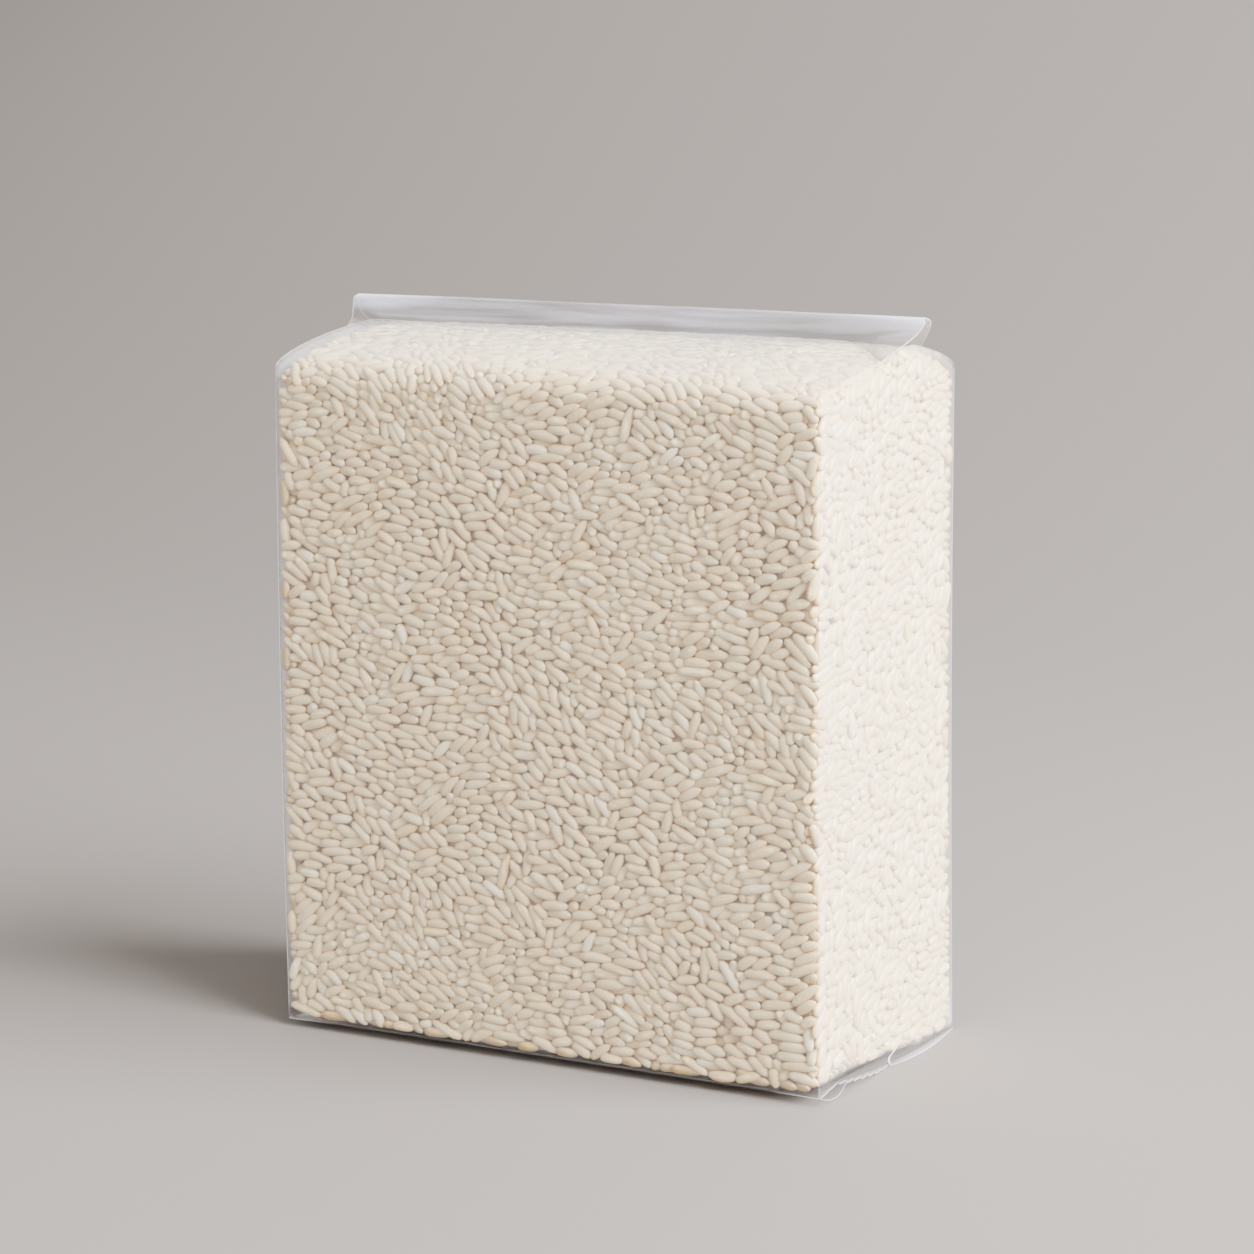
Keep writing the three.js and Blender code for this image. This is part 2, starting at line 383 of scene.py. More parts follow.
    def film_points(self, cube: np.ndarray) -> np.ndarray:
        """Places of the film for points on the surface of a cube from -1 to 1.

        Args:
            cube: points on the cube.

        Returns:
            Points on the film in millimetres.
        """
        u, v, w = cube.T
        climb = (w + 1) / 2
        x = u * self.width / 2
        y = v * (self.depth_base - self.taper * climb) / 2
        hem = self.hem_height(x, y)
        rim = self.shoulder_z + self.roof_rise(x, v * self.depth_top / 2)
        z = hem + (rim - hem) * climb
        belly = self.wall_bulge * np.sin(math.pi * climb)
        on_side = np.sign(u) * np.abs(u) ** self.wall_power
        on_face = np.sign(v) * np.abs(v) ** self.wall_power
        x = x - on_side * belly * np.cos(math.pi * v / 2) + self.bow_shift(z)
        y = y + on_face * belly * np.cos(math.pi * u / 2)
        inset = np.minimum(self.width / 2 * (1 - np.abs(u)), self.depth_base / 2 * (1 - np.abs(v)))
        under = smoothstep(inset, 0.0, self.base_slope)
        z = np.where(w < -AT_END, hem + (self.base_lift - hem) * under, z)
        return self._round_shoulders(np.stack([x, y, z], 1), u, v)

    def _round_shoulders(self, points: np.ndarray, u: np.ndarray, v: np.ndarray) -> np.ndarray:
        """Rounds the long top edges as the film does over the grains, but not the ears."""
        x, y, z = points.T
        half_y = self.depth_top / 2
        limit = half_y - self.roof_margin
        top = self.shoulder_z + self.roof_rise(x, np.clip(y, -limit, limit))
        radius = self.shoulder_round + self.film_gap
        past_y = np.abs(y) - half_y + radius
        past_z = z - top + radius
        ear = smoothstep(self.width / 2 * (np.abs(u) - 1), -self.ear_from, -self.ear_to)
        in_corner = (past_y > 0) & (past_z > 0)
        length = np.sqrt(past_y**2 + past_z**2)
        pull = np.where(in_corner, (1 - radius / np.maximum(length, radius)) * (1 - ear), 0.0)
        rounded = points.copy()
        rounded[:, 1] -= np.sign(v) * past_y * pull
        rounded[:, 2] -= past_z * pull
        return rounded


# Rice

class GrainKind(Enum):
    """The kinds of grain that one can tell apart in the pack, each one piece."""

    SHORT = "rice_short"
    MIDDLING = "rice_middling"
    LONG = "rice_long"
    CHALKY = "rice_chalky"
    BROKEN = "rice_broken"
    UNDER = "rice_under"


@dataclass
class Grains:
    """Grains as they lie: middles, long axes, the way to the film, and sizes."""

    middle: np.ndarray
    axis: np.ndarray
    way_out: np.ndarray
    depth: np.ndarray
    length: np.ndarray
    width: np.ndarray

    def balls(self) -> tuple[np.ndarray, np.ndarray]:
        """Middles and radii of the balls that stand for the grains."""
        offsets, radii = ball_chain(self.length, self.width)
        places = self.middle[:, None] + offsets[:, :, None] * self.axis[:, None]
        return places.reshape(-1, 3), radii.ravel()


BALL_PROFILE = np.array([0.8, 0.96, 1.0, 0.96, 0.8])
CROWD_DAMPING = 0.6
WAVE_SPREAD = (0.7, 1.5)


def ball_chain(length: np.ndarray, width: np.ndarray) -> tuple[np.ndarray, np.ndarray]:
    """A grain as five balls along its axis.

    Args:
        length: grain lengths.
        width: grain widths.

    Returns:
        Offsets along the axis and radii, one row for each grain.
    """
    radii = width[:, None] / 2 * BALL_PROFILE
    share = np.linspace(-1, 1, len(BALL_PROFILE))
    return share * (length / 2 - radii[:, 0])[:, None], radii


def near_pairs(points: np.ndarray, owners: np.ndarray, reach: float) -> tuple[np.ndarray, np.ndarray]:
    """Finds the pairs of balls of different grains that lie within reach.

    Args:
        points: ball middles.
        owners: the grain that each ball belongs to.
        reach: greatest distance, and the size of the search cells.

    Returns:
        Two arrays of ball numbers.
    """
    cells = np.floor((points - points.min(0)) / reach).astype(np.int64) + 1
    rows, columns = cells.max(0)[1:] + 2
    keys = (cells[:, 0] * rows + cells[:, 1]) * columns + cells[:, 2]
    order = np.argsort(keys, kind="stable")
    keys = keys[order]
    firsts, seconds = [], []
    for step_x in (-1, 0, 1):
        for step_y in (-1, 0, 1):
            column = keys + (step_x * rows + step_y) * columns
            start = np.searchsorted(keys, column - 1, "left")
            count = np.searchsorted(keys, column + 1, "right") - start
            one = np.repeat(np.arange(len(keys)), count)
            other = np.arange(count.sum()) - np.repeat(np.cumsum(count) - count, count)
            other += np.repeat(start, count)
            once = one < other
            one, other = order[one[once]], order[other[once]]
            apart = points[one] - points[other]
            close = (owners[one] != owners[other]) & ((apart * apart).sum(1) < reach * reach)
            firsts.append(one[close])
            seconds.append(other[close])
    return np.concatenate(firsts), np.concatenate(seconds)


def push_apart(points: np.ndarray, radii: np.ndarray, one: np.ndarray, other: np.ndarray) -> np.ndarray:
    """Moves that part overlapping balls.

    Args:
        points: ball middles.
        radii: ball radii.
        one: first ball of each pair.
        other: second ball of each pair.

    Returns:
        One move for each ball.
    """
    apart = points[one] - points[other]
    distance = np.sqrt((apart * apart).sum(1)) + TINY
    overlap = radii[one] + radii[other] - distance
    hit = overlap > 0
    one, other = one[hit], other[hit]
    push = apart[hit] * (0.5 * overlap[hit] / distance[hit])[:, None]
    total = len(points)
    move = np.stack([np.bincount(one, push[:, k], total) - np.bincount(other, push[:, k], total)
                     for k in range(3)], 1)
    hits = np.bincount(one, minlength=total) + np.bincount(other, minlength=total)
    return move / np.maximum(1.0, CROWD_DAMPING * hits)[:, None]


def wander(points: np.ndarray, wavelength: float, rng: np.random.Generator, waves: int = 14) -> np.ndarray:
    """A smooth random field of about unit size.

    Args:
        points: places in millimetres.
        wavelength: typical length of its waves.
        rng: the seeded source of draws.
        waves: number of waves added.

    Returns:
        One value for each point.
    """
    value = np.zeros(len(points))
    for _ in range(waves):
        way = rng.normal(size=3)
        way *= 2 * math.pi / (wavelength * rng.uniform(*WAVE_SPREAD)) / np.linalg.norm(way)
        value += np.sin(points @ way + rng.uniform(0, 2 * math.pi))
    return value / math.sqrt(waves / 2)


@dataclass
class GrainBed:
    """The outer layers of rice, pressed against the film by the vacuum."""

    form: BagForm
    seed: int = 31
    layer_depths: tuple[float, ...] = (1.2, 3.0)
    layer_cover: tuple[float, ...] = (1.18, 0.72)
    layer_play: float = 0.3
    draws: int = 700_000
    shell_depth: float = 4.5
    shell_play: float = 0.6
    outer_depth: float = 2.0
    length: float = 5.6
    length_spread: float = 0.65
    length_limits: tuple[float, float] = (4.6, 7.1)
    long_length: tuple[float, float] = (7.3, 8.6)
    long_share: float = 0.13
    broken_length: tuple[float, float] = (3.0, 4.4)
    broken_share: float = 0.07
    width: float = 2.26
    width_spread: float = 0.12
    width_limits: tuple[float, float] = (1.95, 2.6)
    footprint: float = 0.78
    swirl: float = 42.0
    swirl_turn: float = 0.3
    front_turn: float = -0.2
    side_turn: float = 0.75
    side_share: float = 0.8
    turn_spread: float = 0.3
    stray_share: float = 0.08
    tilt: float = 0.3
    spread_radius: float = 1.75
    spread_steps: int = 14
    press_steps: int = 120
    quick_steps: int = 45
    first_scale: float = 0.72
    grown_share: float = 0.55
    slack: float = 0.5
    press_pull: float = 0.03
    lift_rate: float = 0.5
    search_every: int = 6
    longest_hop: float = 0.6
    turn_rate: float = 0.9
    level_limit: float = 0.3

    def settle(self) -> Grains:
        """Lays the grains down and presses them until they fit.

        Returns:
            The grains at rest.
        """
        rng = np.random.default_rng(self.seed)
        grains = self._strew(rng)
        self._spread(grains)
        self._press(grains)
        distance, grains.way_out = self.form.rice_distance(grains.middle)
        grains.depth = -distance
        return grains

    def _strew(self, rng: np.random.Generator) -> Grains:
        """Draws the grains in layers behind the film.

        Args:
            rng: the seeded source of draws.

        Returns:
            Grains in the rough, still overlapping.
        """
        half_x, half_y = self.form.width / 2, self.form.depth_base / 2
        low = np.array([-half_x, -half_y, self.form.hem_z])
        high = np.array([half_x, half_y, self.form.shoulder_z + self.form.ridge_rise])
        draws = rng.uniform(low, high, (self.draws, 3))
        distance, _ = self.form.rice_distance(draws)
        share = np.prod(high - low) / len(draws)
        middles = []
        for depth, cover in zip(self.layer_depths, self.layer_cover):
            inside = draws[np.abs(distance + depth) < self.layer_play]
            area = len(inside) * share / (2 * self.layer_play)
            count = int(cover * area / (self.length * self.width * self.footprint))
            middles.append(inside[:count])
        middle = np.concatenate(middles)
        total = len(middle)
        distance, way_out = self.form.rice_distance(middle)
        length = rng.normal(self.length, self.length_spread, total).clip(*self.length_limits)
        kind = rng.random(total)
        is_long = kind < self.long_share
        is_broken = kind > 1 - self.broken_share
        length[is_long] = rng.uniform(*self.long_length, is_long.sum())
        length[is_broken] = rng.uniform(*self.broken_length, is_broken.sum())
        width = rng.normal(self.width, self.width_spread, total).clip(*self.width_limits)
        axis = self._directions(middle, way_out, rng)
        log.info("grains drawn: %d", total)
        return Grains(middle, axis, way_out, -distance, length, width)

    def _directions(self, middle: np.ndarray, way_out: np.ndarray, rng: np.random.Generator) -> np.ndarray:
        """Draws the long axes: in the plane of the wall, in swirls, level on the front, steep at the sides.

        Args:
            middle: middles of the grains.
            way_out: the way from each to the film.
            rng: the seeded source of draws.

        Returns:
            One unit vector for each grain.
        """
        across = np.cross(np.array([0.0, 0.0, 1.0]), way_out)
        flat = np.linalg.norm(across, axis=1) < self.level_limit
        across[flat] = np.array([1.0, 0.0, 0.0])
        across -= (across * way_out).sum(1)[:, None] * way_out
        across /= np.linalg.norm(across, axis=1)[:, None]
        upward = np.cross(way_out, across)
        angle = self.swirl_turn * wander(middle, self.swirl, rng)
        angle += rng.normal(0, self.turn_spread, len(middle))
        angle += self.front_turn * np.abs(way_out[:, 1])
        angle += self.side_turn * (np.abs(way_out[:, 0]) > self.side_share)
        stray = rng.random(len(middle)) < self.stray_share
        angle[stray] = rng.uniform(0, math.pi, stray.sum())
        axis = np.cos(angle)[:, None] * across + np.sin(angle)[:, None] * upward
        axis += self.tilt * rng.normal(size=(len(middle), 1)) * way_out
        return axis / np.linalg.norm(axis, axis=1)[:, None]

    def _spread(self, grains: Grains) -> None:
        """Evens out the middles before the grains take their length."""
        owners = np.arange(len(grains.middle))
        radii = np.full(len(owners), self.spread_radius)
        home = grains.depth
        for _ in range(self.spread_steps):
            one, other = near_pairs(grains.middle, owners, 2 * self.spread_radius)
            grains.middle += push_apart(grains.middle, radii, one, other)
            distance, way_out = self.form.rice_distance(grains.middle)
            grains.middle -= way_out * (distance + home)[:, None]

    def _press(self, grains: Grains) -> None:
        """Grows the grains to full size while they push each other and the film apart."""
        steps = self.press_steps
        offsets, radii = ball_chain(grains.length, grains.width)
        balls = offsets.shape[1]
        owners = np.repeat(np.arange(len(grains.middle)), balls)
        weight = (offsets**2).sum(1)
        reach = 2 * radii.max() + self.slack
        outer = (grains.depth < self.outer_depth)[:, None]
        for step in range(steps):
            scale = min(1.0, self.first_scale + (1 - self.first_scale) * step / (steps * self.grown_share))
            arms = offsets * scale
            places = (grains.middle[:, None] + arms[:, :, None] * grains.axis[:, None]).reshape(-1, 3)
            sizes = (radii * scale).ravel()
            if step % self.search_every == 0:
                one, other = near_pairs(places, owners, reach)
            move = push_apart(places, sizes, one, other)
            distance, way_out = self.form.rice_distance(places)
            move -= way_out * np.maximum(distance + sizes, 0.0)[:, None]
            too_deep = np.maximum(sizes - distance - self.shell_depth - self.shell_play, 0.0)
            move += way_out * (self.lift_rate * too_deep)[:, None]
            moved = (places + move).reshape(-1, balls, 3)
            middle = moved.mean(1)
            axis = (arms[:, :, None] * (moved - middle[:, None])).sum(1) / (weight * scale**2)[:, None]
            _, middle_out = self.form.rice_distance(grains.middle)
            middle += middle_out * outer * self.press_pull
            hop = middle - grains.middle
            span = np.linalg.norm(hop, axis=1)[:, None]
            grains.middle += hop * np.minimum(1.0, self.longest_hop / np.maximum(span, TINY))
            grains.axis += self.turn_rate * (axis - grains.axis)
            grains.axis /= np.linalg.norm(grains.axis, axis=1)[:, None]


@dataclass(frozen=True)
class RiceFinish:
    """Milled white rice: a dry, milky, slightly glassy kernel with a soft sheen."""

    name: str
    pale: str
    warm: str
    roughness: float = 0.27
    gloss: float = 0.75
    dust: float = 0.2
    groove: float = 0.35
    scatter: float = 0.34
    # Painted shade on the flanks: its colour, its strength and the height it starts from
    flank_shade_colour: str = "D3A95C"
    flank_shade: float = 0.62
    flank_shade_from: float = 0.75
    tip_power: float = 6.0
    tip_glass: float = -0.35
    # Painted light: the middle is made greyer so that a paler rim is left round it
    glassy: str = "C9BC98"
    crown_shade: float = 0.32
    crown_shade_from: float = 0.6

    def make(self) -> bpy.types.Material:
        """Builds the material.

        Returns:
            Rice whose colour varies from grain to grain and along each grain, with painted shade on the
            flanks and a painted paler rim round a greyer middle.
        """
        material, tree, output = new_material(self.name)
        # Each grain has its own tone, from glassy cream to chalk white
        tone = add_node(tree, "ShaderNodeAttribute", attribute_name="tone")
        along = add_node(tree, "ShaderNodeAttribute", attribute_name="along")
        place = add_node(tree, "ShaderNodeTexCoord")
        # Chalky clouds inside a kernel are about a millimetre long
        cloud = add_node(tree, "ShaderNodeTexNoise", {
            "Vector": place.outputs["Object"], "Scale": 1 / (1.3 * MM), "Detail": 2.0, "Roughness": 0.5})
        mottle = add_node(tree, "ShaderNodeMath", {0: cloud.outputs["Fac"], 1: 0.5}, operation="MULTIPLY")
        sum_tone = add_node(tree, "ShaderNodeMath", {0: tone.outputs["Fac"], 1: mottle.outputs[0]},
                            operation="ADD")
        # The tips are glassier than the belly
        tip = add_node(tree, "ShaderNodeMath", {0: along.outputs["Fac"], 1: self.tip_power},
                       operation="POWER")
        tip_dark = add_node(tree, "ShaderNodeMath", {
            0: tip.outputs[0], 1: self.tip_glass, 2: sum_tone.outputs[0]}, operation="MULTIPLY_ADD")
        # The last two inputs of a colour mix are its colours
        shade = add_node(tree, "ShaderNodeMix", {
            0: tip_dark.outputs[0], 6: srgb(self.warm), 7: srgb(self.pale)},
            data_type="RGBA", clamp_factor=True)
        # Painted shade: the flanks are painted darker and warmer, standing in for the light that reaches
        # them only through other kernels, which warms it
        height = add_node(tree, "ShaderNodeAttribute", attribute_name="height")
        flank_shade_mask = add_node(tree, "ShaderNodeMapRange", {
            0: height.outputs["Fac"], 1: self.flank_shade_from, 2: 0.0, 3: 0.0, 4: self.flank_shade},
            interpolation_type="SMOOTHSTEP")
        # The thick middle is painted greyer, as glassier rice, and the paler line left round it is painted
        # light, where light would leave a translucent kernel
        crown_shade = add_node(tree, "ShaderNodeMapRange", {
            0: height.outputs["Fac"], 1: self.crown_shade_from, 2: 1.0, 3: 0.0, 4: self.crown_shade},
            interpolation_type="SMOOTHSTEP")
        crown_shaded = add_node(tree, "ShaderNodeMix", {
            0: crown_shade.outputs[0], 6: shade.outputs[2], 7: srgb(self.glassy)}, data_type="RGBA")
        flank_shaded = add_node(tree, "ShaderNodeMix", {
            0: flank_shade_mask.outputs[0], 6: crown_shaded.outputs[2], 7: srgb(self.flank_shade_colour)}, data_type="RGBA")
        # Light scatters inside a kernel, so that its shading is softer than its shape
        shape = add_node(tree, "ShaderNodeNewGeometry")
        wall = add_node(tree, "ShaderNodeAttribute", attribute_name="wall_way")
        # The inputs 4 and 5 of a mix are its vectors
        soften = add_node(tree, "ShaderNodeMix", {
            0: self.scatter, 4: shape.outputs["Normal"], 5: wall.outputs["Vector"]}, data_type="VECTOR")
        normal = add_node(tree, "ShaderNodeVectorMath", {0: soften.outputs[1]}, operation="NORMALIZE")
        # Fine marks of milling are under half a millimetre long
        groove = add_node(tree, "ShaderNodeTexNoise", {
            "Vector": place.outputs["Object"], "Scale": 1 / (0.45 * MM), "Detail": 3.0, "Roughness": 0.6})
        bump = add_node(tree, "ShaderNodeBump", {
            "Strength": self.groove, "Distance": 0.05 * MM, "Height": groove.outputs["Fac"],
            "Normal": normal.outputs[0]})
        shader = add_node(tree, "ShaderNodeBsdfPrincipled", {
            "Base Color": flank_shaded.outputs[2], "Roughness": self.roughness, "IOR": 1.5,
            "Specular IOR Level": self.gloss, "Sheen Weight": self.dust, "Sheen Roughness": 0.3,
            "Normal": bump.outputs["Normal"]})
        tree.links.new(shader.outputs[0], output.inputs["Surface"])
        return material


# Names and colours of the finishes: a kernel's belly and its glassy parts
RICE_COLOURS = {
    GrainKind.SHORT: ("white rice, milled, short kernels", "E2CF9E", "DAC085"),
    GrainKind.MIDDLING: ("white rice, milled, middling kernels", "E1CD9B", "D9BE82"),
    GrainKind.LONG: ("white rice, milled, long kernels", "E2CF9D", "DAC084"),
    GrainKind.CHALKY: ("white rice, chalky kernels", "ECDFBC", "E3D1A1"),
    GrainKind.BROKEN: ("white rice, broken kernels", "E0CC98", "D7BC7F"),
    # The under layer is painted darker and warmer than the grains in front of it: painted shade, for light
    # that reaches it only through them.
    GrainKind.UNDER: ("white rice, under layer, painted shade", "DDC281", "D4AF6C"),
}
# Rings of a ball that are scaled: from and to which height, how much wider and how much farther out.
# A kernel has fuller shoulders and ends than a stretched ball, fullest at the germ end
OUTER_RINGS = ((0.20, 0.30, 1.02, 1.08), (0.40, 0.48, 1.0, 0.98), (-0.30, -0.20, 1.09, 1.14),
               (-0.48, -0.40, 1.3, 0.98))
UNDER_RINGS = ((0.30, 0.40, 1.22, 1.02), (-0.40, -0.30, 1.28, 1.02))
# A broken kernel has one blunt end
BLUNT_RING = (-0.48, -0.40, 1.2, 1.04)


@dataclass
class RiceFill:
    """All the rice that can be seen through the film, and the core behind it."""

    form: BagForm
    grains: Grains
    seed: int = 8
    visible_depth: float = 2.2
    chalky_share: float = 0.05
    broken_below: float = 4.55
    short_below: float = 5.42
    long_above: float = 6.1
    thickness: float = 0.92
    bend: float = 0.035
    outer_ball: tuple[int, int] = (8, 6)
    under_ball: tuple[int, int] = (6, 4)
    core_depth: float = 3.4
    core_cells: tuple[int, int, int] = (72, 36, 80)
    core_lump: float = 0.45
    core_lump_size: float = 5.0
    core_passes: int = 3

    def build(self) -> None:
        """Makes one joined piece for each kind of grain, and the core."""
        rng = np.random.default_rng(self.seed)
        tone = rng.random(len(self.grains.middle))
        kinds = self._sort_kinds(rng)
        for kind in GrainKind:
            chosen = np.flatnonzero(kinds == list(GrainKind).index(kind))
            master = self._model_grain(kind)
            piece = self._strew_copies(kind, master, chosen, tone)
            finish_piece(piece, RiceFinish(*RICE_COLOURS[kind]).make(), f"{len(chosen)} grains")
        self._build_core()

    def _sort_kinds(self, rng: np.random.Generator) -> np.ndarray:
        """Gives each grain the number of its kind."""
        grains = self.grains
        order = list(GrainKind)
        kinds = np.full(len(grains.length), order.index(GrainKind.MIDDLING))
        kinds[grains.length < self.short_below] = order.index(GrainKind.SHORT)
        kinds[grains.length > self.long_above] = order.index(GrainKind.LONG)
        kinds[grains.length < self.broken_below] = order.index(GrainKind.BROKEN)
        chalky = rng.random(len(kinds)) < self.chalky_share
        kinds[chalky] = order.index(GrainKind.CHALKY)
        kinds[grains.depth > self.visible_depth] = order.index(GrainKind.UNDER)
        return kinds

    def _model_grain(self, kind: GrainKind) -> bpy.types.Object:
        """Models one grain of unit length along Z and unit width.

        Args:
            kind: the kind of grain.

        Returns:
            The grain's object, to be copied.
        """
        is_under = kind is GrainKind.UNDER
        deselect()
        segments, rings = self.under_ball if is_under else self.outer_ball
        bpy.ops.mesh.primitive_uv_sphere_add(segments=segments, ring_count=rings, radius=0.5)
        grain = bpy.context.active_object
        bpy.ops.object.mode_set(mode="EDIT")
        for fuller in UNDER_RINGS if is_under else OUTER_RINGS:
            self._scale_rings(grain, *fuller)
        if kind is GrainKind.BROKEN:
            self._scale_rings(grain, *BLUNT_RING)
        bpy.ops.object.mode_set(mode="OBJECT")
        return grain

    @staticmethod
    def _scale_rings(grain: bpy.types.Object, low: float, high: float, wider: float, farther: float) -> None:
        """Widens the rings between two heights and moves them out, in edit mode."""
        mesh = bmesh.from_edit_mesh(grain.data)
        bpy.ops.mesh.select_all(action="DESELECT")
        for vertex in mesh.verts:
            vertex.select = low < vertex.co.z < high
        mesh.select_flush_mode()
        bmesh.update_edit_mesh(grain.data)
        bpy.ops.transform.resize(value=(wider, wider, farther), center_override=(0.0, 0.0, 0.0))

    def _strew_copies(self, kind: GrainKind, master: bpy.types.Object, chosen: np.ndarray,
                      tone: np.ndarray) -> bpy.types.Object:
        """Joins a copy of the master grain for each chosen grain.

        Args:
            kind: the kind of grain.
            master: the grain that is copied, and then removed.
            chosen: numbers of the grains.
            tone: a tone for every grain.

        Returns:
            The joined piece, with a tone and a place along the grain on every vertex.
        """
        shape = read_points(master) * MM
        corners = np.empty(len(master.data.loops), dtype=np.int64)
        master.data.loops.foreach_get("vertex_index", corners)
        sizes = np.array([polygon.loop_total for polygon in master.data.polygons])
        grains = self.grains
        axis = grains.axis[chosen]
        out = grains.way_out[chosen] - (grains.way_out[chosen] * axis).sum(1)[:, None] * axis
        out /= np.maximum(np.linalg.norm(out, axis=1), 1e-6)[:, None]
        side = np.cross(out, axis)
        size = np.stack([grains.width[chosen], grains.width[chosen] * self.thickness,
                         grains.length[chosen]], 1)
        bend = self.bend * grains.length[chosen]
        local = shape[None] * size[:, None]
        local[:, :, 0] += bend[:, None] * (1 - 4 * shape[None, :, 2] ** 2)
        points = grains.middle[chosen][:, None] + local[:, :, :1] * side[:, None]
        points += local[:, :, 1:2] * out[:, None] + local[:, :, 2:] * axis[:, None]
        count, each = len(chosen), len(shape)
        all_corners = (corners[None] + each * np.arange(count)[:, None]).ravel()
        piece = mesh_object(kind.value, points.reshape(-1, 3), all_corners, np.tile(sizes, count))
        add_attribute(piece, "tone", np.repeat(tone[chosen], each))
        add_attribute(piece, "along", np.tile(np.abs(shape[:, 2]) * 2, count))
        height = ((points - grains.middle[chosen][:, None]) * grains.way_out[chosen][:, None]).sum(2)
        add_attribute(piece, "height", (2 * height / size[:, 1:2]).ravel())
        add_directions(piece, "wall_way", np.repeat(grains.way_out[chosen], each, axis=0))
        bpy.data.objects.remove(master, do_unlink=True)
        return piece

    def _build_core(self) -> None:
        """Makes the closed core that stands for the rice behind the visible layers."""
        core = grid_box("rice_core", self.core_cells)
        cube = read_points(core) * MM
        points = self.form.film_points(cube)
        rng = np.random.default_rng(self.seed + 1)
        lumps = self.core_lump * wander(points, self.core_lump_size, rng)
        for _ in range(self.core_passes):
            distance, way_out = self.form.rice_distance(points)
            points -= way_out * (distance + self.core_depth)[:, None]
        points -= way_out * lumps[:, None]
        write_points(core, points)
        core.data.shade_smooth()
        # The core is painted darker and warmer still: painted shade, for the little light that reaches the
        # rice behind the grains.
        material = RiceFinish("white rice, packed core, painted shade", "D5AE70", "C89A5C")
        add_attribute(core, "tone", rng.random(len(points)))
        # With its height at nought, the core also takes the painted flank shade all over.
        for name in ("along", "height"):
            add_attribute(core, name, np.zeros(len(points)))
        finish_piece(core, material.make(), "core behind the grains")


def grid_box(name: str, cells: tuple[int, int, int]) -> bpy.types.Object:
    """Models a box two units wide with its faces cut into a grid.

    Args:
        name: the object's name.
        cells: number of cells along X, Y and Z.

    Returns:
        The box, from -1 to 1 metre on each axis.
    """
    deselect()
    bpy.ops.mesh.primitive_cube_add(size=2.0)
    box = bpy.context.active_object
    box.name = name
    bpy.ops.object.mode_set(mode="EDIT")
    bpy.ops.mesh.select_mode(type="EDGE")
    for axis, count in enumerate(cells):
        mesh = bmesh.from_edit_mesh(box.data)
        bpy.ops.mesh.select_all(action="DESELECT")
        for edge in mesh.edges:
            way = edge.verts[1].co - edge.verts[0].co
            edge.select = abs(way[axis]) > ALONG_AXIS * way.length
        mesh.select_flush_mode()
        bmesh.update_edit_mesh(box.data)
        bpy.ops.mesh.subdivide(number_cuts=count - 1)
    bpy.ops.object.mode_set(mode="OBJECT")
    return box


# Film

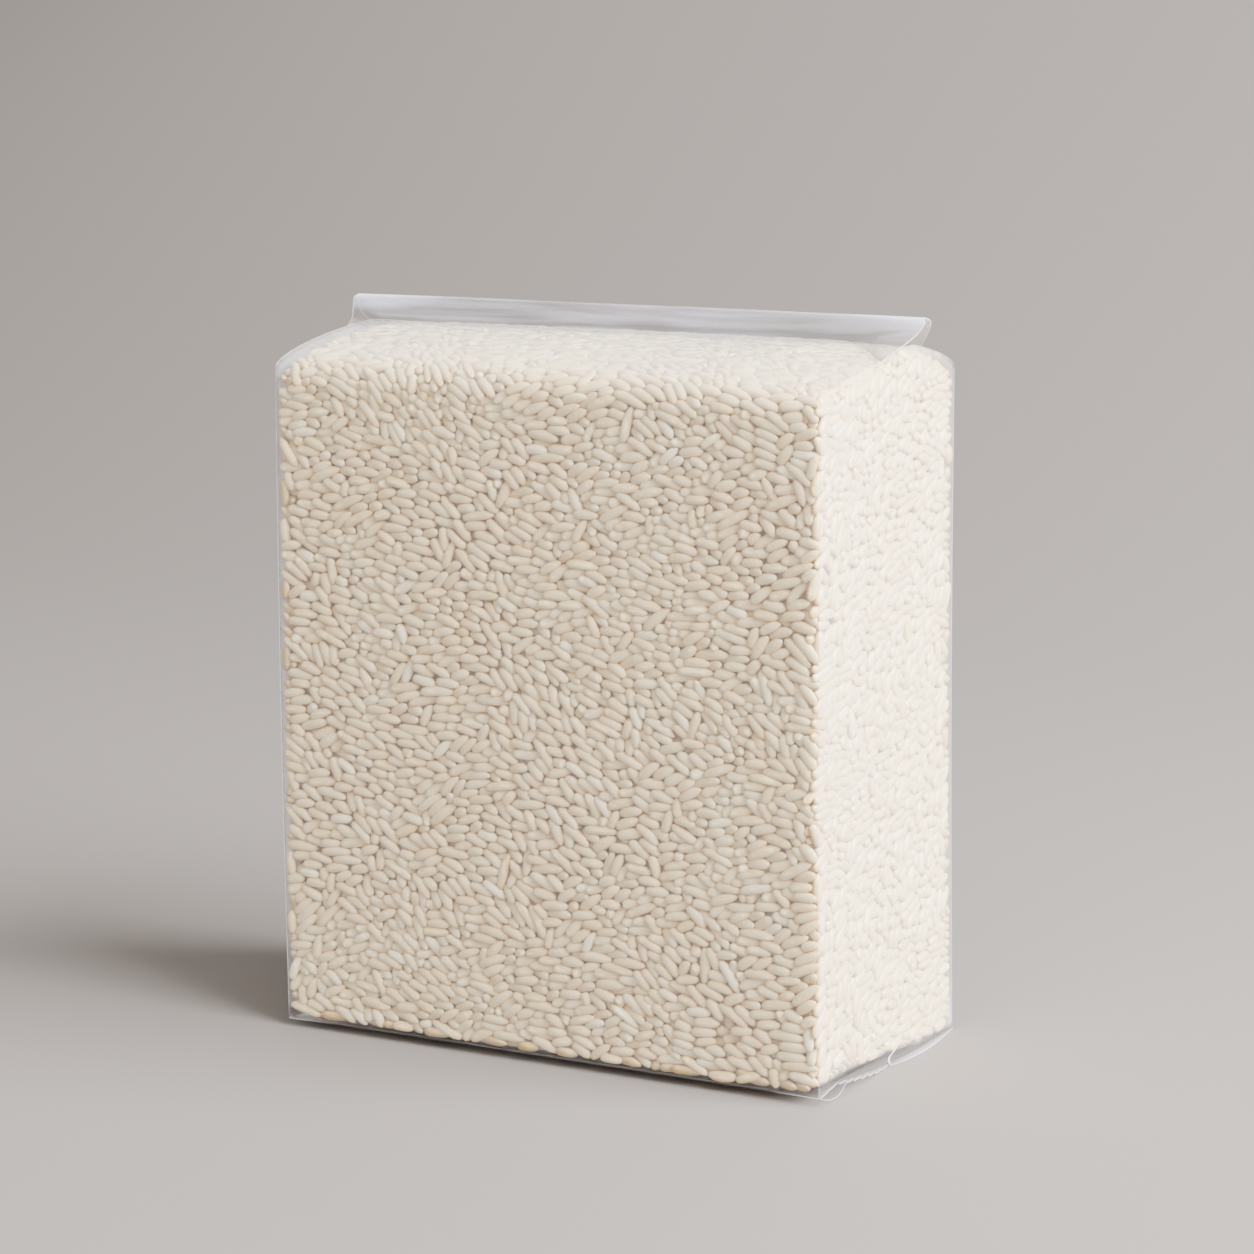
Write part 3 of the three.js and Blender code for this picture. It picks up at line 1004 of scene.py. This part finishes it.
@dataclass(frozen=True)
class FilmFinish:
    """Clear laminated film of polyamide and polyethylene, cast smooth and glossy."""

    name: str
    haze: float = 0.07
    edge_haze: float = 0.2
    rim_haze: float = 0.7
    streaks: float = 0.0
    tint: str = "DDDBE0"
    roughness: float = 0.2
    crinkle: float = 0.3
    crinkle_size: float = 1.8

    def make(self) -> bpy.types.Material:
        """Builds the material.

        Returns:
            A see-through film: a little milky, more so at a slant and at a cut edge, with a clear gloss.
        """
        material, tree, output = new_material(self.name)
        place = add_node(tree, "ShaderNodeTexCoord")
        # Vacuum crinkles between the grains are one or two millimetres wide
        crinkle = add_node(tree, "ShaderNodeTexNoise", {
            "Vector": place.outputs["Object"], "Scale": 1 / (self.crinkle_size * MM), "Detail": 3.0,
            "Roughness": 0.6})
        bump = add_node(tree, "ShaderNodeBump", {
            "Strength": self.crinkle, "Distance": 0.12 * MM, "Height": crinkle.outputs["Fac"]})
        clear = add_node(tree, "ShaderNodeBsdfTransparent", {"Color": srgb("FBFBFC")})
        milk = add_node(tree, "ShaderNodeBsdfDiffuse", {"Color": srgb(self.tint)})
        slant = add_node(tree, "ShaderNodeLayerWeight", {"Blend": 0.35})
        veil = add_node(tree, "ShaderNodeMath", {
            0: slant.outputs["Facing"], 1: self.edge_haze, 2: self.haze}, operation="MULTIPLY_ADD")
        # Draw marks of the cast film run along the bag, a millimetre or two apart
        stretch = add_node(tree, "ShaderNodeMapping", {
            "Vector": place.outputs["Object"], "Scale": (0.05, 1.0, 1.0)})
        marks = add_node(tree, "ShaderNodeTexNoise", {
            "Vector": stretch.outputs["Vector"], "Scale": 1 / (1.6 * MM), "Detail": 2.0})
        marked = add_node(tree, "ShaderNodeMath", {
            0: marks.outputs["Fac"], 1: self.streaks, 2: veil.outputs[0]}, operation="MULTIPLY_ADD")
        # A cut or pressed edge scatters the light and looks white
        rim = add_node(tree, "ShaderNodeAttribute", attribute_name="rim")
        milky = add_node(tree, "ShaderNodeMath", {
            0: rim.outputs["Fac"], 1: self.rim_haze, 2: marked.outputs[0]}, operation="MULTIPLY_ADD")
        body = add_node(tree, "ShaderNodeMixShader", {
            0: milky.outputs[0], 1: clear.outputs[0], 2: milk.outputs[0]})
        shine = add_node(tree, "ShaderNodeBsdfAnisotropic", {
            "Color": srgb("FFFFFF"), "Roughness": self.roughness, "Normal": bump.outputs["Normal"]})
        # Thin film mirrors alike from both sides: 4 % straight on, and all of the light at a glance
        tilt = add_node(tree, "ShaderNodeLayerWeight", {"Blend": 0.5, "Normal": bump.outputs["Normal"]})
        steep = add_node(tree, "ShaderNodeMath", {0: tilt.outputs["Facing"], 1: 5.0}, operation="POWER")
        mirror = add_node(tree, "ShaderNodeMath", {0: steep.outputs[0], 1: 0.96, 2: 0.04},
                          operation="MULTIPLY_ADD")
        film = add_node(tree, "ShaderNodeMixShader", {
            0: mirror.outputs[0], 1: body.outputs[0], 2: shine.outputs[0]})
        tree.links.new(film.outputs[0], output.inputs["Surface"])
        return material


def add_attribute(piece: bpy.types.Object, name: str, values: np.ndarray) -> None:
    """Stores one number on every vertex."""
    layer = piece.data.attributes.new(name, "FLOAT", "POINT")
    layer.data.foreach_set("value", np.asarray(values, dtype=np.float32))


def add_directions(piece: bpy.types.Object, name: str, vectors: np.ndarray) -> None:
    """Stores one direction on every vertex."""
    layer = piece.data.attributes.new(name, "FLOAT_VECTOR", "POINT")
    layer.data.foreach_set("vector", np.asarray(vectors, dtype=np.float32).ravel())


def flat_sheet(name: str, along: int, across: int) -> tuple[bpy.types.Object, np.ndarray]:
    """Models a flat sheet two units wide, to be folded.

    Args:
        name: the object's name.
        along: cells along X.
        across: cells along Y.

    Returns:
        The sheet and its points, from -1 to 1.
    """
    deselect()
    bpy.ops.mesh.primitive_grid_add(x_subdivisions=along, y_subdivisions=across, size=2.0)
    sheet = bpy.context.active_object
    sheet.name = name
    return sheet, read_points(sheet)[:, :2] * MM


def fold_sheet(sheet: bpy.types.Object, points: np.ndarray, rim: np.ndarray) -> bpy.types.Object:
    """Moves a sheet's points, in millimetres, and stores how milky its rim is."""
    write_points(sheet, points)
    add_attribute(sheet, "rim", rim)
    return sheet


def join_sheets(name: str, sheets: list[bpy.types.Object], film: float) -> bpy.types.Object:
    """Joins folded sheets to one piece with the film's thickness.

    Args:
        name: the piece's name.
        sheets: the sheets.
        film: thickness in millimetres.

    Returns:
        The piece.
    """
    deselect()
    for sheet in sheets:
        sheet.select_set(True)
    bpy.context.view_layer.objects.active = sheets[0]
    if len(sheets) > 1:
        bpy.ops.object.join()
    piece = sheets[0]
    piece.name = name
    apply_modifier(piece, "SOLIDIFY", thickness=film * MM, offset=0.0)
    piece.data.shade_smooth()
    return piece


@dataclass
class FilmSkin:
    """The bag's walls, top and base: film that the vacuum drapes over the grains."""

    form: BagForm
    grains: Grains
    cells: tuple[int, int, int] = (101, 62, 101)
    deepest: float = 0.45
    clearance: float = 0.15
    highest: float = 0.3
    passes: int = 1
    edge_hold: float = 1.6
    top_veil: float = 0.02
    foot_clear: float = 0.3
    corner_milk: float = 0.4
    veil_slope: tuple[float, float] = (0.3, 0.9)
    roof_slope: tuple[float, float] = (0.5, 0.95)
    foot_band: tuple[float, float] = (-0.3, 0.6)
    corner_side: tuple[float, float] = (-2.5, -0.3)
    corner_back: tuple[float, float] = (-3.0, -0.5)
    corner_band: tuple[float, float] = (3.0, 14.0)
    grain_depth: float = 2.6
    search: float = 3.0
    no_support: float = -9.0
    fade: tuple[float, float] = (1.3, 2.5)
    skirt: tuple[float, float] = (1.5, 3.5)
    edge_from: float = 0.2
    top_edge: tuple[float, float] = (-1.0, 0.5)

    def build(self) -> bpy.types.Object:
        """Models the skin and drapes it.

        Returns:
            The closed film skin.
        """
        skin = grid_box("film_skin", self.cells)
        cube = read_points(skin) * MM
        points = self.form.film_points(cube)
        points = self._drape(skin, cube, points)
        write_points(skin, points)
        _, out = self.form.rice_distance(points)
        x, y, z = points.T
        rice_foot = self.form.hem_height(x, y) + self.form.skirt_height + self.form.tuck(x, y)
        milk = self.top_veil * smoothstep(out[:, 2], *self.veil_slope)
        # Below the rice the film is only clear, with the shadow of the base behind it
        milk -= self.foot_clear * (1 - smoothstep(z - rice_foot, *self.foot_band))
        # The film is folded double at the foot of the back corners
        corner = smoothstep(np.abs(x) - self.form.width / 2, *self.corner_side)
        corner *= smoothstep(y - self.form.depth_base / 2, *self.corner_back)
        milk += self.corner_milk * corner * (1 - smoothstep(z, *self.corner_band))
        add_attribute(skin, "rim", milk)
        skin.data.shade_smooth()
        finish_piece(skin, FilmFinish("clear PA/PE film, cast, under vacuum").make(), "draped film skin")
        return skin

    def _drape(self, skin: bpy.types.Object, cube: np.ndarray, points: np.ndarray) -> np.ndarray:
        """Sinks the film between the grains.

        Args:
            skin: the skin's object, for its edges.
            cube: the skin's points on the cube.
            points: the taut film's points.

        Returns:
            The draped points.
        """
        _, out = self.form.rice_distance(points)
        balls, radii = self.grains.balls()
        outer = np.repeat(self.grains.depth < self.grain_depth, len(BALL_PROFILE))
        balls, radii = balls[outer], radii[outer]
        count = len(points)
        owners = np.concatenate([np.zeros(count, dtype=int), np.ones(len(balls), dtype=int)])
        one, other = near_pairs(np.concatenate([points, balls]), owners, self.search)
        film, ball = np.minimum(one, other), np.maximum(one, other) - count
        apart = balls[ball] - points[film]
        depth = (apart * out[film]).sum(1)
        aside = (apart * apart).sum(1) - depth**2
        room = radii[ball] ** 2 - aside
        over = room > 0
        height = depth[over] + np.sqrt(room[over])
        support = np.full(count, self.no_support)
        np.maximum.at(support, film[over], height)
        deepest = self.deepest + self.form.roof_gap * smoothstep(out[:, 2], *self.roof_slope)
        sink = np.clip(support + self.clearance, -deepest, self.highest)
        sink *= 1 - smoothstep(-support, *self.fade)
        edges = np.empty(len(skin.data.edges) * 2, dtype=np.int64)
        skin.data.edges.foreach_get("vertices", edges)
        start, end = edges.reshape(-1, 2).T
        degree = np.bincount(start, minlength=count) + np.bincount(end, minlength=count)
        level = sink.copy()
        for _ in range(self.passes):
            total = np.bincount(start, level[end], count) + np.bincount(end, level[start], count)
            level = np.maximum(0.5 * level + 0.5 * total / degree, sink)
        # The film stays straight along the upright edges, and gives a little over the top's edges
        from_side = self.form.width / 2 * (1 - np.abs(cube[:, 0]))
        from_face = self.form.depth_base / 2 * (1 - np.abs(cube[:, 1]))
        on_wall = smoothstep(np.maximum(from_side, from_face), self.edge_from, self.edge_hold)
        on_top = smoothstep(np.minimum(from_side, from_face), *self.top_edge)
        amount = np.where(cube[:, 2] > AT_END, on_top, on_wall)
        amount *= smoothstep(points[:, 2] - self.form.hem_z, *self.skirt)
        amount[cube[:, 2] < -AT_END] = 0.0
        return points + out * (level * amount)[:, None]


@dataclass
class TopFin:
    """The welded fin: front and back film joined along the top, open at both ends."""

    form: BagForm
    steps_along: int = 110
    steps_round: int = 28
    root: float = 0.25
    film: float = 0.12
    gap: float = 0.35
    lean: float = 0.8
    wave: float = 0.3
    wave_length: float = 58.0
    end_reach: float = 22.0
    end_power: float = 1.6
    bend_left: float = 0.45
    bend_right: float = 1.15
    spread_left: float = 0.25
    spread_right: float = 0.36
    flare_left: float = 6.5
    flare_right: float = 12.5
    flare_back: float = 1.5
    flare_power_left: float = 9.0
    flare_power_right: float = 4.0
    cut_left: float = 0.7
    tuck_left: float = 2.0
    tuck_power: float = 8.0
    cut_right: float = 3.9
    cut_power: float = 1.8
    corner: float = 0.9
    rim: float = 0.15
    rim_milk: float = 0.9
    top_milk: float = 0.07
    end_milk: float = 0.8
    milk_fade: float = 2.2
    milk_ends: tuple[float, float] = (0.6, 0.95)
    clear_power: float = 3.0
    rim_power: float = 4.0
    drop_power: float = 1.15
    bend_room: float = 0.2
    foot_clear: float = 0.5

    def build(self) -> None:
        """Models the folded sheet and gives it the film's thickness."""
        fin, grid = flat_sheet("film_fin", self.steps_along, self.steps_round)
        near_end = smoothstep(np.abs(grid[:, 0]), *self.milk_ends)
        milk = (self.top_milk + self.end_milk * near_end) * (1 - np.abs(grid[:, 1])) ** self.milk_fade
        milk -= self.foot_clear * near_end * np.abs(grid[:, 1]) ** self.clear_power
        # The left end's rim fades where it runs into the ear
        rim_fade = np.where(grid[:, 0] < 0, 1 - np.abs(grid[:, 1]) ** self.rim_power, 1.0)
        milk = np.where(np.abs(grid[:, 0]) > AT_END, self.rim_milk * rim_fade, milk)
        fin = fold_sheet(fin, self._fold(grid[:, 0], grid[:, 1]), milk)
        fin = join_sheets("film_fin", [fin], self.film)
        finish = FilmFinish("clear PA/PE film, welded fin", haze=-0.2, edge_haze=0.2, streaks=0.5,
                            tint="CECEE0", crinkle=0.12, crinkle_size=5.0)
        finish_piece(fin, finish.make(), "welded fin, open at its ends")

    def _fold(self, along: np.ndarray, turn: np.ndarray) -> np.ndarray:
        """Folds a flat sheet over the fin's top edge.

        Args:
            along: -1 at the left end to 1 at the right end.
            turn: -1 at the front foot, 0 at the top, 1 at the back foot.

        Returns:
            Points in millimetres.
        """
        form = self.form
        full = form.width / 2 + form.fin_overhang
        low = form.shoulder_z + form.ridge_rise - self.root
        top = form.shoulder_z + form.ridge_rise + form.fin_height - self.film
        drop = np.abs(turn) ** self.drop_power
        below = (top - low) * drop
        reach = full - np.where(along > 0, self.cut_right, self.cut_left) * drop**self.cut_power
        reach -= np.where(along > 0, 0.0, self.tuck_left) * drop**self.tuck_power
        reach -= self.corner * np.clip(1 - below / self.corner, 0, 1) ** 2
        last = 2 / self.steps_along
        inner = np.abs(along) / (1 - last) * (reach - self.rim)
        outer = reach - self.rim * (1 - np.abs(along)) / last
        x = np.sign(along) * np.where(np.abs(along) > 1 - last, outer, inner)
        near_end = smoothstep(np.abs(x), full - self.end_reach, full) ** self.end_power
        right = along > 0
        bend = self.gap / 2 + np.where(right, self.bend_right, self.bend_left) * near_end
        spread = np.where(right, self.spread_right, self.spread_left) * near_end
        rounding = np.clip(below / (bend + self.bend_room), 0, 1)
        half = bend * np.sqrt(rounding * (2 - rounding)) + spread * below
        flare = np.where(turn < 0, np.where(right, self.flare_right, self.flare_left), self.flare_back)
        half += flare * near_end * drop ** np.where(right, self.flare_power_right, self.flare_power_left)
        sway = self.lean + self.wave * np.sin(2 * math.pi * x / self.wave_length)
        y = form.ridge_y(x) + (1 - drop) * sway * (1 - near_end) + np.sign(turn) * half
        foot = form.roof_rise(np.clip(x, -form.width / 2, form.width / 2), y) - form.ridge_rise
        return np.stack([x, y, top - below + foot * drop], 1)


@dataclass
class FilmEdges:
    """Pressed creases: thin pleats on the upright edges and over the shoulders to the fin."""

    form: BagForm
    reach: float = 0.2
    root: float = 0.14
    film: float = 0.08
    steps: int = 70
    shoulder_slope: float = 0.7
    end_power: float = 0.3
    foot: tuple[float, float] = (0.93, 1.0)

    def build(self) -> None:
        """Models all the pleats as one piece of folded film."""
        strips = []
        for side_x in (-1, 1):
            strips.append(self._pleat(side_x, None))
            for side_y in (-1, 1):
                strips.append(self._pleat(side_x, side_y))
        creases = join_sheets("film_creases", strips, self.film)
        finish = FilmFinish("clear PA/PE film, pressed crease", haze=0.0, edge_haze=0.05, rim_haze=0.4,
                            crinkle=0.0)
        finish_piece(creases, finish.make(), "pressed creases on the upright edges and shoulders")

    def _pleat(self, side_x: int, side_y: int | None) -> bpy.types.Object:
        """Models one pleat as a narrow strip on an edge.

        Args:
            side_x: left or right.
            side_y: front or back for an upright edge, or nothing for a shoulder.

        Returns:
            The strip.
        """
        strip, grid = flat_sheet("pleat", self.steps, 2)
        run, out = grid[:, 0], (grid[:, 1] + 1) / 2
        side = np.full_like(run, side_x)
        if side_y is None:
            edge = np.stack([side, run, np.ones_like(run)], 1)
            way = np.array([side_x, 0.0, self.shoulder_slope]) / math.hypot(1.0, self.shoulder_slope)
            ease = 1.0
        else:
            edge = np.stack([side, np.full_like(run, side_y), run], 1)
            way = np.array([side_x, side_y, 0.0]) / math.sqrt(2)
            ease = np.sin(math.pi * (run + 1) / 2) ** self.end_power
        points = self.form.film_points(edge)
        points += way * ((out * self.reach - self.root) * ease)[:, None]
        foot = smoothstep(-run, *self.foot) if side_y == 1 else np.zeros_like(run)
        return fold_sheet(strip, points, np.maximum(out**2, foot))


@dataclass
class BaseFolds:
    """Folded film at the foot: the hem, and the gussets' flaps tucked under the sides."""

    form: BagForm
    seed: int = 5
    film: float = 0.1
    wall_gap: float = 0.12
    rim_row: float = 0.01
    hem_height: float = 0.5
    hem_steps: int = 120
    hem_gap: float = 0.08
    hem_flare: float = 0.14
    hem_wave: float = 16.0
    hem_ripple: float = 0.06
    hem_drop: float = 0.12
    hem_apart: float = 40.0
    hem_fade: float = 12.0
    flap_steps: int = 100
    front_flap_y: tuple[float, ...] = (-31.4, -24.6, -19.4, -13.2, -5.1, 1.6)
    front_flap_z: tuple[float, ...] = (1.7, 3.1, 2.2, 1.3, 0.3, 0.2)
    front_flap_top: tuple[float, float] = (3.9, 2.7)
    front_flap_out: float = 0.35
    front_flap_ease: float = 1.3
    notch_length: float = 3.4
    notch_height: float = 0.7
    back_flap_y: tuple[float, float] = (0.6, 32.0)
    back_flap_top: tuple[float, float] = (3.4, 0.9)
    back_flap_out: float = 1.8
    back_flap_ease: float = 1.5
    bulge_skew: float = 0.8
    bulge_power: float = 1.3
    cheek: float = 0.4
    curl_from: float = 0.6
    curl_back: float = 3.4
    curl_bow: float = 1.6
    foot_milk: float = 0.2
    fold_milk: float = 0.7
    fold_row: float = 0.06
    end_row: float = 0.012
    loop_end: float = -19.4
    loop_dip: float = 1.5
    loop_out: float = 0.5
    loop_rise: float = 0.3
    loop_cells: tuple[int, int] = (24, 3)

    def build(self) -> None:
        """Models the folds as one piece of film."""
        sheets = []
        for side in (-1, 1):
            sheets.append(self._hem(side))
            sheets.append(self._front_flap(side))
            sheets.append(self._back_flap(side))
            sheets.append(self._loop(side))
        folds = join_sheets("film_base_folds", sheets, self.film)
        finish = FilmFinish("clear PA/PE film, folded base", haze=0.0, edge_haze=0.03, rim_haze=0.65,
                            crinkle=0.1, crinkle_size=3.0)
        finish_piece(folds, finish.make(), "hem and gusset flaps of the base")

    def _hem(self, side: int) -> bpy.types.Object:
        """Models the double film along the front or back hem."""
        form = self.form
        sheet, grid = flat_sheet("hem", self.hem_steps, 3)
        x = grid[:, 0] * form.width / 2
        up = (grid[:, 1] + 1) / 2
        place = np.stack([x, np.full_like(x, self.hem_apart * side), np.zeros_like(x)], 1)
        ripple = wander(place, self.hem_wave, np.random.default_rng(self.seed + side))
        y = side * (form.depth_base / 2 + self.hem_gap + self.hem_flare * (1 - up) * (1 + 0.5 * ripple))
        low = form.hem_height(x, y) + self.hem_ripple * ripple - self.hem_drop
        near_end = smoothstep(np.abs(x), form.width / 2 - self.hem_fade, form.width / 2)
        points = np.stack([x, y, low + up * self.hem_height], 1)
        return fold_sheet(sheet, points, near_end * (up < self.rim_row))

    def _front_flap(self, side: int) -> bpy.types.Object:
        """Models the front half of a gusset's flap, which rises from the corner and is notched.

        Args:
            side: left or right.

        Returns:
            The flap, close to the wall.
        """
        sheet, grid = flat_sheet("flap", self.flap_steps, 6)
        share, up = (grid[:, 0] + 1) / 2, ((grid[:, 1] + 1) / 2) ** self.front_flap_ease
        ends = self.front_flap_y
        y = ends[0] + share * (ends[-1] - ends[0])
        low = np.interp(y, self.front_flap_y, self.front_flap_z)
        notches = (y / self.notch_length) % 1.0
        # A quarter is the mean of a cubed sawtooth
        low += self.notch_height * (notches**3 - 0.25) * np.sin(math.pi * share)
        top = self.front_flap_top[0] + share * (self.front_flap_top[1] - self.front_flap_top[0])
        out = self.wall_gap + self.front_flap_out * np.sin(math.pi * share) * (1 - up)
        x = side * (self.form.width / 2 + out)
        points = np.stack([x, y, low + up * (top - low)], 1)
        return fold_sheet(sheet, points, np.maximum(self._foot(up), up < self.rim_row))

    def _back_flap(self, side: int) -> bpy.types.Object:
        """Models the back half of a gusset's flap, which bulges out to the floor and curls at its end.

        Args:
            side: left or right.

        Returns:
            The flap, milky along its foot.
        """
        sheet, grid = flat_sheet("flap", self.flap_steps, 12)
        share, up = (grid[:, 0] + 1) / 2, ((grid[:, 1] + 1) / 2) ** self.back_flap_ease
        start, end = self.back_flap_y
        curl = self.curl_back * smoothstep(up, self.curl_from, 1.0) * (1 - share) ** 2
        curl -= self.curl_bow * np.sin(math.pi * up) * (1 - share) ** 4
        y = start + share * (end - start) + curl
        top = self.back_flap_top[0] + share * (self.back_flap_top[1] - self.back_flap_top[0])
        bulge = np.sin(math.pi * share**self.bulge_skew)
        out = self.wall_gap + self.back_flap_out * bulge * (1 - up) ** self.bulge_power
        out += self.cheek * np.sin(math.pi * up) * (1 - share)
        x = side * (self.form.width / 2 + out)
        z = self.film + up * (top - self.film)
        milk = np.maximum(self._foot(up) + self.fold_milk * (up < self.fold_row), share < self.end_row)
        return fold_sheet(sheet, np.stack([x, y, z], 1), milk)

    def _foot(self, up: np.ndarray) -> np.ndarray:
        """Milk of a flap's lower half, where the film is creased."""
        return self.foot_milk * (1 - smoothstep(up, 0.0, 0.5))

    def _loop(self, side: int) -> bpy.types.Object:
        """Models the second flap, a low loop beside the front corner."""
        form = self.form
        sheet, grid = flat_sheet("loop", *self.loop_cells)
        share, up = (grid[:, 0] + 1) / 2, (grid[:, 1] + 1) / 2
        start = self.front_flap_y[0]
        y = start + share * (self.loop_end - start)
        arch = np.sin(math.pi * share)
        x = side * (form.width / 2 + self.wall_gap + self.loop_out * arch * (1 - 0.5 * up))
        ends = self.front_flap_z[0], self.front_flap_z[2]
        z = ends[0] + share * (ends[1] - ends[0]) - self.loop_dip * arch + self.loop_rise * up
        return fold_sheet(sheet, np.stack([x, y, z], 1), up < self.rim_row)


# Stage

@dataclass
class Studio:
    """A pale seamless sweep, soft lamps and the camera."""

    form: BagForm
    yaw: float = 29.26
    pitch: float = 10.42
    roll: float = -0.5
    distance: float = 841.94
    aim_right: float = 1.65
    aim_up: float = 83.6
    lens: float = 113.1
    sweep_width: float = 4.0
    sweep_front: float = 1.2
    sweep_back: float = 1.1
    sweep_radius: float = 0.7
    sweep_height: float = 2.2
    sensor_width: float = 36.0
    clip: tuple[float, float] = (0.05, 50.0)
    near: float = 0.01
    lamp_aim: float = 0.07
    world_strength: float = 0.7

    def build(self) -> None:
        """Sets up floor, light and camera."""
        self._sweep()
        self._lamps()
        self._camera()

    def _camera(self) -> None:
        """Places the camera as the pack is seen: from the right and a little above."""
        yaw, pitch, roll = (math.radians(v) for v in (self.yaw, self.pitch, self.roll))
        back = Vector((math.sin(yaw) * math.cos(pitch), -math.cos(yaw) * math.cos(pitch), math.sin(pitch)))
        right = Vector((math.cos(yaw), math.sin(yaw), 0.0))
        up = back.cross(right)
        tilted_right = right * math.cos(roll) + up * math.sin(roll)
        tilted_up = up * math.cos(roll) - right * math.sin(roll)
        aim = tilted_right * self.aim_right + tilted_up * self.aim_up + Vector((0, 0, self.form.hem_z))
        data = bpy.data.cameras.new("camera")
        data.sensor_width = self.sensor_width
        data.lens = self.lens
        data.clip_start, data.clip_end = self.clip
        camera = bpy.data.objects.new("camera", data)
        bpy.context.collection.objects.link(camera)
        turn = Matrix((tilted_right, tilted_up, back)).transposed().to_4x4()
        camera.matrix_world = Matrix.Translation((aim + back * self.distance) * MM) @ turn
        bpy.context.scene.camera = camera

    def _sweep(self) -> None:
        """Models floor and back wall as one sheet bent along the back."""
        deselect()
        bpy.ops.mesh.primitive_plane_add(size=1.0)
        sweep = bpy.context.active_object
        sweep.name = "stage_sweep"
        bpy.ops.object.mode_set(mode="EDIT")
        bpy.ops.transform.resize(value=(self.sweep_width, self.sweep_front + self.sweep_back, 1.0))
        bpy.ops.transform.translate(value=(0, (self.sweep_back - self.sweep_front) / 2, 0))
        mesh = bmesh.from_edit_mesh(sweep.data)
        bpy.ops.mesh.select_mode(type="EDGE")
        bpy.ops.mesh.select_all(action="DESELECT")
        for edge in mesh.edges:
            edge.select = all(vertex.co.y > self.sweep_back - self.near for vertex in edge.verts)
        mesh.select_flush_mode()
        bmesh.update_edit_mesh(sweep.data)
        bpy.ops.mesh.extrude_region_move(TRANSFORM_OT_translate={"value": (0, 0, self.sweep_height)})
        mesh = bmesh.from_edit_mesh(sweep.data)
        bpy.ops.mesh.select_all(action="DESELECT")
        for edge in mesh.edges:
            edge.select = all(vertex.co.y > self.sweep_back - self.near and abs(vertex.co.z) < self.near
                              for vertex in edge.verts)
        mesh.select_flush_mode()
        bmesh.update_edit_mesh(sweep.data)
        bpy.ops.mesh.bevel(offset=self.sweep_radius, segments=24, affect="EDGES")
        bpy.ops.object.mode_set(mode="OBJECT")
        sweep.data.shade_smooth()
        material, tree, output = new_material("matte paper sweep")
        place = add_node(tree, "ShaderNodeTexCoord")
        # Paper fibres are well under a millimetre; drawn at a millimetre to show
        fibre = add_node(tree, "ShaderNodeTexNoise", {
            "Vector": place.outputs["Object"], "Scale": 1 / (1.0 * MM), "Detail": 3.0})
        bump = add_node(tree, "ShaderNodeBump", {
            "Strength": 0.15, "Distance": 0.1 * MM, "Height": fibre.outputs["Fac"]})
        shader = add_node(tree, "ShaderNodeBsdfPrincipled", {
            "Base Color": srgb("67625F"), "Roughness": 0.9, "Normal": bump.outputs["Normal"]})
        tree.links.new(shader.outputs[0], output.inputs["Surface"])
        sweep.data.materials.append(material)

    def _lamps(self) -> None:
        """Hangs a large soft lamp to the right, weak fill in front and a weak lamp behind."""
        self._lamp("key", (1.05, -0.05, 0.8), 1.1, 183.0, "FFFDFB")
        # A weak lamp low behind the pack shines in the film of the top
        self._lamp("back", (-0.5, 0.8, 0.66), 0.75, 3.6, "FFFAF0")
        self._lamp("fill", (0.6, -1.5, 1.2), 1.8, 45.0, "FFF6EC")
        world = bpy.data.worlds.new("studio")
        bpy.context.scene.world = world
        world.use_nodes = True
        background = world.node_tree.nodes["Background"]
        background.inputs["Color"].default_value = srgb("F6F4F3")
        background.inputs["Strength"].default_value = self.world_strength

    def _lamp(self, name: str, place: tuple[float, float, float], size: float, power: float,
              colour: str) -> None:
        """Hangs one square lamp that faces the pack.

        Args:
            name: the lamp's name.
            place: where it hangs, in metres.
            size: side of its square, in metres.
            power: watts.
            colour: sRGB hex.
        """
        data = bpy.data.lights.new(name, "AREA")
        data.size = size
        data.energy = power
        data.color = srgb(colour)[:3]
        lamp = bpy.data.objects.new(name, data)
        bpy.context.collection.objects.link(lamp)
        lamp.location = place
        middle = Vector((0, 0, self.lamp_aim))
        lamp.rotation_euler = (middle - Vector(place)).to_track_quat("-Z", "Y").to_euler()


def main() -> None:
    """Builds the pack and its stage."""
    form = BagForm(*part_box(NODE))
    grains = GrainBed(form).settle()
    RiceFill(form, grains).build()
    FilmSkin(form, grains).build()
    TopFin(form).build()
    FilmEdges(form).build()
    BaseFolds(form).build()
    Studio(form).build()


if __name__ == "__main__":
    main()
